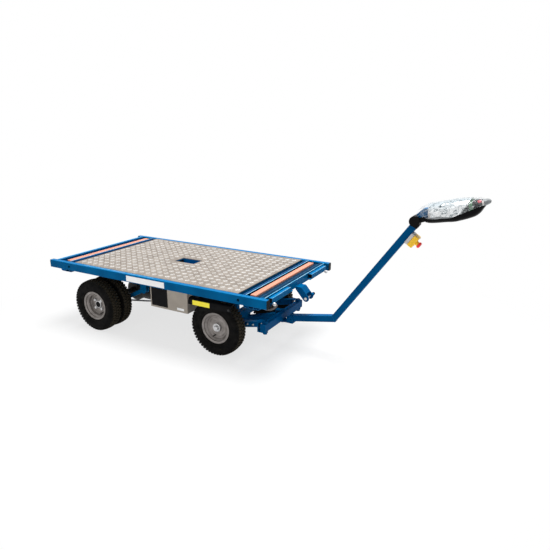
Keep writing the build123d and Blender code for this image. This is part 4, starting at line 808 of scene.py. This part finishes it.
# %% Blank labels
FILM, PANEL = 0.15, 1.2
LABELS = (
    # name, x from and to, z from and to, wall's distance from the middle, thickness each way, finish
    ("beam_label", (-182, 173), (477, 520), 520, FILM, label_white),
    ("guard_label", (402, 545), (394, 428), 502, FILM, label_yellow),
    ("battery_panel", (-90, 62), (262, 452), 365.6, PANEL, finishes["black_plastic"]),
    ("battery_sticker", (150, 215), (262, 280), 365, FILM, label_white),
)
for name, x, z, wall, sheet, finish in LABELS:
    label = rounded_box(x, (-sheet, sheet), z, sheet * 0.45, 1)
    work = placed(*((label, ON_PLATFORM @ shifted(0, side * wall, 0)) for side in (-1, 1)))
    make_piece(name, work, "chassis", finish=finish)

# %% [markdown]
# ## Tiller head
# The head is a boat-shaped black shell with a grey cover on it. A smooth curve runs through a few
# stations along the head, and each section is a rounded rectangle drawn as a superellipse, split at the
# seam into the shell below and the cover above. The head leans, so places on it are given along its own
# axes. Rings of edges are bridged one to the next, and a closed body gets a face over each end.

# %% Places and smooth sections of the tiller head
BEND = Vector((1250, 0, 286))
UPPER_ANGLE = math.radians(55)
TUBE_ALONG = Vector((math.cos(UPPER_ANGLE), 0, math.sin(UPPER_ANGLE)))
TUBE_OUT = Vector((math.sin(UPPER_ANGLE), 0, -math.cos(UPPER_ANGLE)))
UPPER_RUN = 862.0
COLLAR_RADIUS, COLLAR_BACKSET = 33.0, 13.0
HEAD_RISE = math.radians(18)
HEAD_ALONG = Vector((math.cos(HEAD_RISE), 0, math.sin(HEAD_RISE)))
HEAD_UP = Vector((-math.sin(HEAD_RISE), 0, math.cos(HEAD_RISE)))
SEAM = -14.0
collar = BEND + TUBE_ALONG * (UPPER_RUN + COLLAR_RADIUS) - TUBE_OUT * COLLAR_BACKSET


def on_head(along, side, up):
    """A place in metres from the head's own millimetres: along it, to the left, and up over the seam."""
    spot = collar + HEAD_ALONG * along + HEAD_UP * (up + SEAM)
    return at(spot.x, side, spot.z)


def between(stations, along):
    """The stations' values at a distance along the head, on a smooth curve through them."""
    last = len(stations) - 2
    i = max(0, min(last, sum(1 for s in stations[1:-1] if s[0] <= along)))
    before, a, b, after = (stations[max(0, min(last + 1, k))] for k in (i - 1, i, i + 1, i + 2))
    span = b[0] - a[0]
    t = max(0.0, min(1.0, (along - a[0]) / span))
    values = []
    for k in range(1, len(a)):
        rise_a = (b[k] - before[k]) / (b[0] - before[0]) * span
        rise_b = (after[k] - a[k]) / (after[0] - a[0]) * span
        h = (2 * t**3 - 3 * t**2 + 1, t**3 - 2 * t**2 + t, -2 * t**3 + 3 * t**2, t**3 - t**2)
        values.append(h[0] * a[k] + h[1] * rise_a + h[2] * b[k] + h[3] * rise_b)
    return values


def squarish(angle, power):
    """A point of a unit superellipse."""
    c, s = math.cos(angle), math.sin(angle)
    return math.copysign(abs(c) ** (2 / power), c), math.copysign(abs(s) ** (2 / power), s)


def ring(bm, points):
    """The edges of a closed ring through points."""
    verts = [bm.verts.new(point) for point in points]
    return [bm.edges.new(pair) for pair in zip(verts, verts[1:] + verts[:1])]


def bridge(bm, rows):
    """Faces from each row of edges to the next."""
    for a, b in zip(rows, rows[1:]):
        bmesh.ops.bridge_loops(bm, edges=a + b)


def closed_body(bm, rings):
    """Faces from ring to ring, and one over each end."""
    bridge(bm, rings)
    for end in (rings[0], rings[-1]):
        bmesh.ops.contextual_create(bm, geom=end)


print("collar at", [round(v, 1) for v in collar])

# %% [markdown]
# On the real head the seam isn't flat. It dips in the middle and rises at both ends, so its height has
# stations of its own. The same function makes the shell, the cover, and the dark panel and the green
# switch band near the tip, which are short lengths of the cover swollen by a millimetre or two.

# %% Shell, cover and controls of the head
HEAD_STATIONS = (
    # along, half width, lowest, highest
    (62, 34, -9, 44), (86, 52, -17, 54), (130, 74, -24, 66), (180, 84, -30, 74), (240, 90, -38, 80),
    (340, 82, -33, 62), (376, 68, -18, 54), (404, 52, 8, 47), (424, 34, 14, 44),
)
SEAM_CURVE = (
    # along, height of the seam
    (62, 20), (99, 18), (168, 14), (212, 2), (240, -3), (268, 3), (317, 9), (362, 18), (404, 21), (424, 24)
)
ROUND_STEPS = 32
STEP_LENGTH = 7.5
SECTION_POWER = 3.2
LIP_OUT, LIP_DROP = 2.5, 5.0
SEAM_GAP = 0.3
HEAD_START, HEAD_END = HEAD_STATIONS[0][0], 406
COVER_START = 92


def half_head(part, start=HEAD_START, end=HEAD_END, swell=0.0):
    """The shell (part -1) or the cover (part 1), or a swollen length of it, as bridged sections."""
    bm = bmesh.new()
    rings = []
    steps = round((end - start) / STEP_LENGTH)
    for step in range(steps + 1):
        along = start + (end - start) * step / steps
        half, low, high = between(HEAD_STATIONS, along)
        seam = between(SEAM_CURVE, along)[0]
        reach = high - seam if part > 0 else seam - low
        points = []
        for k in range(ROUND_STEPS + 1):
            side, up = squarish(math.pi * k / ROUND_STEPS, SECTION_POWER)
            lip = LIP_OUT * max(0.0, 1 - abs(up * reach) / LIP_DROP) if part < 0 else swell
            height = seam + part * (SEAM_GAP + max(up, 0) * (reach + swell))
            points.append(on_head(along, side * (half + lip), height))
        rings.append(ring(bm, points))
    closed_body(bm, rings)
    return bm


make_piece("head_shell", half_head(-1), "drawbar", "black_plastic", stands_for="tiller_lower_shell")
cover = half_head(1, start=COVER_START)
make_piece("head_cover", cover, "drawbar", "grey_plastic", stands_for="tiller_upper_cover")
make_piece("head_dark_panel", half_head(1, start=262, end=398, swell=1.2), "drawbar", "black_plastic")
make_piece("head_green_switch", half_head(1, start=330, end=350, swell=2.2), "drawbar", finish=green_plastic)

# %% [markdown]
# Three small things finish the head: the blue block on the neck, a red round switch and the grey tip.
# The block is an extruded outline with softened edges, the switch is turned, and the tip is one more
# row of bridged sections that closes to a blunt end.

# %% Neck block, red switch and tip
NECK_OUTLINE = ((18, 32), (18, 52), (70, 77), (104, 72), (98, 17), (58, 17))
NECK_HALF, NECK_CORNER = 24.5, 2
SWITCH_SPOT, SWITCH_LEAN = (385, -46, 42), Vector((0, 0.8, 0))
bm = bmesh.new()
side_face = bm.faces.new([bm.verts.new(on_head(along, -NECK_HALF, up)) for along, up in NECK_OUTLINE])
block = bmesh.ops.extrude_face_region(bm, geom=[side_face])
far_side = [v for v in block["geom"] if isinstance(v, bmesh.types.BMVert)]
bmesh.ops.translate(bm, vec=(0, 2 * NECK_HALF * MM, 0), verts=far_side)
round_edges(bm, NECK_CORNER, 2)
make_piece("neck_block", bm, "drawbar", "blue_paint", stands_for="tiller_neck_block")

switch = turned([(0, 0), (12, 0), (12.6, 1.5), (12.6, 7), (11, 10), (6, 11.8), (0, 12.2)], 28)
switch_place = facing(on_head(*SWITCH_SPOT), HEAD_UP - SWITCH_LEAN, HEAD_ALONG)
work = placed((switch, switch_place))
make_piece("red_switch", work, "drawbar", "red_plastic", crimson_plastic, "tiller_red_key")

TIP_STATIONS = (
    # along, half width, lowest, highest
    (400, 42, 12, 50), (412, 36, 14, 51), (426, 29, 17, 48), (436, 21, 21, 42), (440, 14, 26, 36),
)
TIP_SECTIONS = (400, 404, 408, 412, 417, 422, 427, 431, 435, 438, 440)
TIP_POWER = 2.8
bm = bmesh.new()
rings = []
for along in TIP_SECTIONS:
    half, low, high = between(TIP_STATIONS, along)
    section = [squarish(2 * math.pi * k / ROUND_STEPS, TIP_POWER) for k in range(ROUND_STEPS)]
    rings.append(
        ring(bm, [on_head(along, half * a, (low + high) / 2 + (high - low) / 2 * b) for a, b in section])
    )
closed_body(bm, rings)
make_piece("head_tip", bm, "drawbar", finish=rubbed_black_and_highlight, stands_for="tiller_tip")

# %% [markdown]
# The rear half of the seam carries a painted highlight: a narrow paler strip on the lip of the shell, made
# from four-cornered sections that are bridged along each side.

# %% Painted highlight on the shell's edge
RIM_HIGHLIGHT_FROM, RIM_HIGHLIGHT_TO = 70.0, 236.0
RIM_HIGHLIGHT_STEPS = 24
RIM_HIGHLIGHT_IN, RIM_HIGHLIGHT_OUT, RIM_HIGHLIGHT_TOP = -1.5, 0.7, 0.2
RIM_HIGHLIGHT_LEAST, RIM_HIGHLIGHT_MORE = 1.0, 11.0
rub_and_highlight = bmesh.new()
for side in (-1, 1):
    strips = []
    for step in range(RIM_HIGHLIGHT_STEPS + 1):
        along = RIM_HIGHLIGHT_FROM + (RIM_HIGHLIGHT_TO - RIM_HIGHLIGHT_FROM) * step / RIM_HIGHLIGHT_STEPS
        half = between(HEAD_STATIONS, along)[0] + LIP_OUT
        seam = between(SEAM_CURVE, along)[0]
        depth = RIM_HIGHLIGHT_LEAST + RIM_HIGHLIGHT_MORE * math.sin(math.pi * step / RIM_HIGHLIGHT_STEPS)
        corners = (
            (RIM_HIGHLIGHT_IN, RIM_HIGHLIGHT_TOP), (RIM_HIGHLIGHT_OUT, RIM_HIGHLIGHT_TOP), (RIM_HIGHLIGHT_OUT, depth), (RIM_HIGHLIGHT_IN, depth)
        )
        points = [on_head(along, side * (half + out), seam - drop) for out, drop in corners]
        strips.append(ring(rub_and_highlight, points))
    closed_body(rub_and_highlight, strips)
make_piece("head_painted_edge_highlight", rub_and_highlight, "drawbar", finish=rubbed_black_and_highlight)

# %% [markdown]
# ## The clear bag
# The bag lies loose on the head, is gathered at the collar and tucked in along the seam. It could be
# simulated, but its look comes from creases much finer than its sag, so it is a sheet through the
# bag's own stations, pushed outwards by a ridged noise that folds it as crushed film folds. Each
# vertex also keeps how milky the film is there, clear over the neck block and in the front windows, and
# how far it is up on the crown.

# %% Creases and milk of the film
CREASE_SIZES = ((52.0, 5.0), (24.0, 2.2))
RIDGES = (0.9, 2.1, 2, 1.0, 2.0)
FULL_RIDGE = 2.2
CLEAR_REAR, MILKY_REAR = 98.0, 112.0
REAR_WANDER, WANDER_SIZE = 10, 20
WINDOW_AT_SEAM, WINDOW_SLANT, WINDOW_EDGE, WINDOW_CLEAR = 268.0, 1.3, 14, 0.95
CREASE_LINES, LINE_LEAN, LINE_HEIGHT = 55.0, 22, 70
LINE_CORE, LINE_EDGE, LINE_MILK = 0.015, 0.06, 0.8


def smooth(low, high, value):
    """A smooth step from 0 to 1 between two values."""
    t = max(0.0, min(1.0, (value - low) / (high - low)))
    return t * t * (3 - 2 * t)


def crease_push(spot):
    """How far the folds push the film outwards at a spot on the head, in millimetres."""
    push = 0.0
    for size, depth in CREASE_SIZES:
        folds = noise.ridged_multi_fractal(spot / size, *RIDGES)
        push += depth * max(0.0, min(1.0, folds / FULL_RIDGE))
    return push


def milkiness(spot, side, height):
    """How milky the film is at a spot, from 0 to 1: its rear end, its windows and its crease lines."""
    window = smooth(0, WINDOW_EDGE, spot.x - WINDOW_AT_SEAM - WINDOW_SLANT * height)
    wander = REAR_WANDER * noise.noise(spot / WANDER_SIZE)
    milky = smooth(CLEAR_REAR, MILKY_REAR, spot.x + wander) * (1 - WINDOW_CLEAR * window)
    across = Vector((spot.x / CREASE_LINES - height / LINE_LEAN, side * 2.0, height / LINE_HEIGHT))
    crease = 1 - smooth(LINE_CORE, LINE_EDGE, abs(noise.noise(across)))
    return max(milky, LINE_MILK * crease)


print("creases of", [size for size, depth in CREASE_SIZES], "mm")

# %% [markdown]
# The sheet is rows of edges across the head, bridged from the collar to the tip. Its lower edges follow the
# seam, and at the neck they rise over it.

# %% Bag
BAG_STATIONS = (
    # along, half width, highest
    (14, 30, 54), (36, 38, 76), (66, 48, 92), (100, 68, 97), (144, 88, 95), (214, 99, 91), (282, 98, 85),
    (354, 84, 71), (388, 66, 62), (406, 50, 55),
)
BAG_STEPS, BAG_ROUND = 170, 110
BAG_POWER = 2.6
NECK_EDGE, NECK_FROM, NECK_TO = 30.0, 50, 95
OVER_SEAM, SINK, SIDE_PUSH = 1.5, 2.0, 0.6
LEAST_MILK, MORE_MILK = 0.06, 0.9
CROWN_FROM, CROWN_FULL = 0.45, 0.95

bag = bmesh.new()
milky_layer = bag.verts.layers.float.new("milky")
crown_layer = bag.verts.layers.float.new("crown")
bag_rows = []
for step in range(BAG_STEPS + 1):
    along = BAG_STATIONS[0][0] + (BAG_STATIONS[-1][0] - BAG_STATIONS[0][0]) * step / BAG_STEPS
    half, high = between(BAG_STATIONS, along)
    seam = between(SEAM_CURVE, along)[0] + OVER_SEAM
    low = NECK_EDGE + (seam - NECK_EDGE) * smooth(NECK_FROM, NECK_TO, along)
    row = []
    for k in range(BAG_ROUND + 1):
        side, up = squarish(math.pi * k / BAG_ROUND, BAG_POWER)
        spot = Vector((along, side * half, low + max(up, 0.0) * (high - low)))
        outwards = Vector((0, side * SIDE_PUSH, max(up, 0.0))).normalized()
        pushed = spot + outwards * (crease_push(spot) - SINK)
        vert = bag.verts.new(on_head(pushed.x, pushed.y, pushed.z))
        vert[milky_layer] = LEAST_MILK + MORE_MILK * milkiness(spot, side, spot.z - low)
        # The crown's value marks where the film gets painted shade.
        vert[crown_layer] = smooth(CROWN_FROM, CROWN_FULL, up)
        row.append(vert)
    bag_rows.append([bag.edges.new(pair) for pair in zip(row, row[1:])])
bridge(bag, bag_rows)
print("bag area", round(sum(face.calc_area() for face in bag.faces), 4), "square metres")
bag_piece = make_piece("tiller_bag", bag, "drawbar", "clear_film", stands_for="tiller_film")

# %% [markdown]
# ## Emergency stop
# The stop switch is a grey base and a yellow cover with soft edges, a round collar and a red mushroom
# button. All stand on the front face of the upper tube, so they are drawn along the tube's own axes.

# %% Emergency stop
STOP_MIDDLE = 790.5
STOP_WIDTH, STOP_LENGTH = (-35.0, 35.0), (-38.5, 38.5)
TUBE_HALF = 22.5
BASE_TOP, COVER_FOOT, COVER_TOP = 43.3, 43.5, 77.5
SCREW_X, SCREW_Y, SCREW_FOOT = 27, 30, 77.2
stop_spot = BEND + TUBE_ALONG * STOP_MIDDLE
stop_place = facing(at(stop_spot.x, 0, stop_spot.z), TUBE_OUT, TUBE_ALONG)
stop_base = rounded_box(STOP_WIDTH, STOP_LENGTH, (TUBE_HALF, BASE_TOP), 2.5)
stop_cover = rounded_box(STOP_WIDTH, STOP_LENGTH, (COVER_FOOT, COVER_TOP), 5, 3)
stop_collar = turned([(0, 77), (18, 77), (18, 80), (15, 81), (14.6, 86), (15, 93), (0, 93)], 36)
mushroom = turned(
    [(0, 93.2), (13, 93.2), (19, 95), (20, 98), (20, 103), (18.6, 107.5), (15, 110.4), (8, 111.4),
     (0, 111.5)], 40,
)
screw = turned([(0, 0), (4, 0), (4, 1.2), (3, 2.4), (1.2, 2.6), (0, 1.4)], 16)
screws = [shifted(x, y, SCREW_FOOT) for x in (-SCREW_X, SCREW_X) for y in (-SCREW_Y, SCREW_Y)]
for name, work, slot, node in (
    ("base", placed((stop_base, stop_place)), "grey_plastic", "stop_base"),
    ("cover", placed((stop_cover, stop_place), (stop_collar, stop_place)), "yellow_plastic", "stop_cover"),
    ("button", placed((mushroom, stop_place)), "red_plastic", "stop_button"),
    ("screws", placed(*((screw, stop_place @ place) for place in screws)), "bright_steel", None),
):
    make_piece(f"stop_switch_{name}", work, "drawbar", slot, stands_for=node)

# %% [markdown]
# ## Bolts and welds
# Small fasteners and weld seams tell the eye how the cart is joined. A weld is a chain of round beads,
# each laid over the last, so it is stamped bead by bead between two points. One runs round the mitre of
# the drawbar's two tubes, and others join the cross tubes, the bumpers' gussets and the latch.

# %% Weld seams
LOWER_ANGLE = math.atan2(60, 335)
MITRE_BEAD, FRAME_BEAD, BEAD_STEP = 2.4, 2.6, 1.1
CROSS_TUBE_X, BEAM_INNER, BEAM_WELD_Z = (932, 962), 480, (472, 528)
GUSSET_WELDS, GUSSET_Z = ((180, 250), (360, 430)), 491
LATCH_WELD_HALF, LATCH_WELD_Z = 38, 483
bead = bmesh.new()
bmesh.ops.create_icosphere(bead, subdivisions=1, radius=1.0)
bead_shape = keep_shape(bead)


def weld(work, start, end, radius):
    """A chain of beads from one point to another."""
    run = end - start
    count = max(2, int(run.length / (radius * BEAD_STEP * MM)))
    size = Matrix.Diagonal((radius * MM, radius * MM, radius * MM, 1))
    for k in range(count + 1):
        stamp(work, bead_shape, Matrix.Translation(start + run * k / count) @ size)


work = bmesh.new()
mitre_turn = (UPPER_ANGLE + LOWER_ANGLE) / 2
mitre = Vector((math.sin(mitre_turn), 0, -math.cos(mitre_turn)))
mitre_half = TUBE_HALF / math.cos((UPPER_ANGLE - LOWER_ANGLE) / 2)
front, rear = BEND + mitre * mitre_half, BEND - mitre * mitre_half
for side in (-TUBE_HALF, TUBE_HALF):
    weld(work, at(front.x, side, front.z), at(rear.x, side, rear.z), MITRE_BEAD)
for spot in (front, rear):
    weld(work, at(spot.x, -TUBE_HALF, spot.z), at(spot.x, TUBE_HALF, spot.z), MITRE_BEAD)
# The drawbar's welds take the darker copy of the enamel, painted shade.
make_piece("drawbar_weld", work, "drawbar", "blue_paint", shaded_enamel)

work = bmesh.new()
gusset_x = CROSS_TUBE_X[1]
for side in (-1, 1):
    for x in (end * x for end in (-1, 1) for x in CROSS_TUBE_X):
        weld(work, *(at(x, side * BEAM_INNER, z) for z in BEAM_WELD_Z), FRAME_BEAD)
    for run in GUSSET_WELDS:
        weld(work, *(at(gusset_x, side * y, GUSSET_Z) for y in run), FRAME_BEAD)
weld(work, *(at(gusset_x, y, LATCH_WELD_Z) for y in (-LATCH_WELD_HALF, LATCH_WELD_HALF)), FRAME_BEAD)
make_piece("platform_welds", work, "chassis", "blue_paint")

# %% [markdown]
# A bolt is stamped on each guard and two on each steering lever, standing on the outer face.

# %% Bolts on the guards and the steering
GUARD_BOLT_X, GUARD_FACE, GUARD_BOLT_Z = 700, 502, 408
LEVER_BOLTS, LEVER_FACE = ((708, 235), (755, 237)), 282
bolt = hex_bolt(13, 6)
work = bmesh.new()
for side in (-1, 1):
    stamp(work, bolt, facing(at(GUARD_BOLT_X, side * GUARD_FACE, GUARD_BOLT_Z), (0, side, 0)))
make_piece("guard_bolts", work, "chassis", "axle_iron")
for name, side in (("right", -1), ("left", 1)):
    work = placed(*((bolt, facing(at(x, side * LEVER_FACE, z), (0, side, 0))) for x, z in LEVER_BOLTS))
    make_piece(f"lever_bolts_{name}", work, f"knuckle_{name}", "bright_steel")

# %% [markdown]
# A bright dome nut on a stud sits near the outer end of each bumper tube. Both are turned, and the dome
# is an arc of the profile.

# %% Dome nuts on the bumper tubes
DOME = 12.0
DOME_X, DOME_Y, DOME_Z = 1001, 420, 478
DOME_LOOKS = (0.8, 0, -0.35)
dome_arc = [(DOME * math.cos(0.3 * k), DOME * math.sin(0.3 * k)) for k in range(6)]
dome_nut = turned([(0, -9), (9, -9), (DOME, -6), *dome_arc, (0, DOME)], 28)
dome_stud = turned([(0, -22), (6, -22), (6, -8), (0, -8)], 16)
work = bmesh.new()
for side in (-1, 1):
    spot = facing(at(DOME_X, side * DOME_Y, DOME_Z), DOME_LOOKS)
    stamp(work, dome_nut, spot)
    stamp(work, dome_stud, spot)
make_piece("bumper_dome_nuts", work, "chassis", "bright_steel")

# %% [markdown]
# ## Painted shade, timber strips and painted highlights of the platform
# In front of the front timber strip the trough's shade is painted as a dark slate sheet that lies below
# the timber's top, and a thinner sheet of painted shade covers the cross tube. They are long flat boxes
# with soft edges.

# %% Painted shade sheets at the front
SHADE_SHEETS = (
    # x from and to, z from and to, corner
    ((882.5, 927), (512, 516), 1.2),
    ((934, 955), (529.6, 530.6), 0.4),
)
SHADE_SHEET_HALF = 470
strips = [rounded_box(x, (-SHADE_SHEET_HALF, SHADE_SHEET_HALF), z, corner) for x, z, corner in SHADE_SHEETS]
work = placed(*((strip, ON_PLATFORM) for strip in strips))
make_piece("front_painted_shade_sheets", work, "chassis", finish=slate_painted_shade)

# %% [markdown]
# The timber strips lie loose in the troughs and stop short of the beams. Their edges are planed round.

# %% Timber strips
TIMBER_X, TIMBER_Z, TIMBER_HALF, TIMBER_CORNER = (837, 880), (506.2, 528), 452, 4
work = bmesh.new()
for end in (-1, 1):
    x = sorted(end * edge for edge in TIMBER_X)
    stamp(work, rounded_box(x, (-TIMBER_HALF, TIMBER_HALF), TIMBER_Z, TIMBER_CORNER, 3), ON_PLATFORM)
make_piece("planed_timber_strips", work, "chassis", "timber", stands_for="timber_strips")

# %% [markdown]
# The long edges at the platform's ends and part of the right beam's top carry painted highlights. Each
# painted highlight is a low pale strip along its edge, a few millimetres wide.

# %% Painted highlights on the platform's edges
HIGHLIGHT_LINES = (
    # x from and to, y from and to, height, ends of the platform
    ((817.5, 821.8), (-478, 478), 530, (-1, 1)),
    ((957.0, 961.2), (-476, 476), 530, (-1, 1)),
    ((988.0, 990.6), (-436, -174), 521, (1,)),
    ((988.0, 990.6), (174, 436), 521, (1,)),
    ((-640, 60), (-497.5, -494.5), 530, (1,)),
)
HIGHLIGHT_HALF, HIGHLIGHT_CORNER = 0.3, 0.2
work = bmesh.new()
for x, y, z, ends in HIGHLIGHT_LINES:
    for end in ends:
        height = (z - HIGHLIGHT_HALF, z + HIGHLIGHT_HALF)
        stamp(work, rounded_box(sorted(end * edge for edge in x), y, height, HIGHLIGHT_CORNER, 1), ON_PLATFORM)
make_piece("platform_painted_highlights", work, "chassis", finish=painted_edge_highlight)

# %% [markdown]
# ## Latch and pocket
# The latch pin runs in a boss and ends in a black knob, both turned. A thin black sheet on the rear wall
# of the hatch pocket is painted shade.

# %% Latch boss, knob and painted shade in the pocket
LATCH_X, LATCH_Z = 1044, 405
BOSS_REACH, BOSS_RADIUS, BOSS_PROUD = 43.0, 13.4, 0.6
POCKET_SHADE_X, POCKET_SHADE_Y, POCKET_SHADE_TOP, POCKET_SHADE_LIFT, POCKET_SHADE_CORNER = (-107.2, -103), (-52, 52), 518, 7, 1.5
boss = turned(
    [(0, 0), (BOSS_RADIUS, 0), (BOSS_RADIUS, BOSS_REACH - 1), (BOSS_RADIUS - 1, BOSS_REACH),
     (0, BOSS_REACH)], 32,
)
knob = turned(
    [(0, 0), (7, 0), (7, 4), (10, 6), (11.5, 9), (11.8, 14), (11, 19), (8.5, 23), (4, 25), (0, 25.4)], 32
)
pin_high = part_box("latch_pin")[1]
pin_end = facing(at(LATCH_X, pin_high.y / MM, LATCH_Z), (0, 1, 0))
work = placed((boss, pin_end @ shifted(0, 0, BOSS_PROUD - BOSS_REACH)))
# The boss takes the darker copy of the enamel, painted shade.
make_piece("latch_boss", work, "chassis", "blue_paint", shaded_enamel)
# A thin black sheet on the pocket's rear wall: painted shade.
pocket_shade = rounded_box(POCKET_SHADE_X, POCKET_SHADE_Y, (pocket_low.z / MM + POCKET_SHADE_LIFT, POCKET_SHADE_TOP), POCKET_SHADE_CORNER)
work = placed((knob, pin_end), (pocket_shade, ON_PLATFORM))
make_piece("latch_knob_and_pocket_shade", work, "chassis", "black_plastic")

# %% [markdown]
# ## Floor, light and background
# The background is plain white and the floor pale. Camera, glossy and transmission rays see white beyond
# the floor's shadow, so the floor fades to white away from the cart. The same three kinds of rays are
# asked for twice, here and in the world.

# %% Floor
FLOOR_HALF, FLOOR_DROP = 9.0, 0.0005
WHITE_FROM, WHITE_FULL = 1.4, 2.4
WHITE_NEAR = 0.72


def seen_rays(tree):
    """A node that gives 1 to the rays that look at the background: camera, glossy and transmission."""
    ray = add(tree, "ShaderNodeLightPath").outputs
    seen = ray["Is Camera Ray"]
    for kind in ("Is Glossy Ray", "Is Transmission Ray"):
        seen = add(tree, "ShaderNodeMath", {0: seen, 1: ray[kind]}, operation="MAXIMUM")
    return seen


floor_mesh = bmesh.new()
bmesh.ops.create_grid(floor_mesh, x_segments=1, y_segments=1, size=FLOOR_HALF)
floor_data = bpy.data.meshes.new("floor")
floor_mesh.to_mesh(floor_data)
floor_mesh.free()
floor = bpy.data.objects.new("floor", floor_data)
floor.location = (0, 0, -FLOOR_DROP)
bpy.context.scene.collection.objects.link(floor)
material, tree, shader, place = new_finish("pale_floor", Base_Color=linear("#F4F4F4"), Roughness=0.9)
white = add(tree, "ShaderNodeEmission", {"Color": (1, 1, 1, 1), "Strength": 1.0})
reach = add(tree, "ShaderNodeVectorMath", {0: place}, operation="LENGTH")
fade = add(
    tree, "ShaderNodeMapRange",
    {"Value": reach, "From Min": WHITE_FROM, "From Max": WHITE_FULL, "To Min": WHITE_NEAR},
    interpolation_type="SMOOTHSTEP",
)
blend = add(tree, "ShaderNodeMath", {0: fade, 1: seen_rays(tree)}, operation="MULTIPLY")
mixed = add(tree, "ShaderNodeMixShader", {0: blend, 1: shader, 2: white})
feed(tree.nodes["Material Output"], {"Surface": mixed})
floor_data.materials.append(material)
print("floor fades to white from", WHITE_FROM, "to", WHITE_FULL, "metres")

# %% [markdown]
# The world is white to those rays and dim to all others, so it lights the cart only a little. A large
# soft lamp hangs over the cart, so the tops are bright and the sides darker, and a weak fill comes from
# the cart's right.

# %% World and lamps
WORLD_LIGHT = 0.30
LAMPS = (
    # name, place, target, size, watts
    ("overhead_key", (0.3, 0.8, 7.0), (0.0, 0.0, 0.3), 4.5, 600.0),
    ("side_fill", (-0.8, -5.0, 2.0), (0.0, 0.0, 0.4), 2.0, 30.0),
)
world = bpy.data.worlds.new("studio")
bpy.context.scene.world = world
world.use_nodes = True
tree = world.node_tree
level = add(tree, "ShaderNodeMapRange", {"Value": seen_rays(tree), "To Min": WORLD_LIGHT, "To Max": 1.0})
feed(tree.nodes["Background"], {"Color": (1, 1, 1, 1), "Strength": level})
for name, place, target, size, watts in LAMPS:
    lamp = bpy.data.lights.new(name, "AREA")
    lamp.shape = "DISK"
    lamp.size = size
    lamp.energy = watts
    holder = bpy.data.objects.new(name, lamp)
    aim = (Vector(target) - Vector(place)).to_track_quat("-Z", "Y")
    holder.matrix_world = Matrix.Translation(place) @ aim.to_matrix().to_4x4()
    bpy.context.scene.collection.objects.link(holder)
    print(name, watts, "W")
bpy.context.scene.view_settings.view_transform = "Standard"
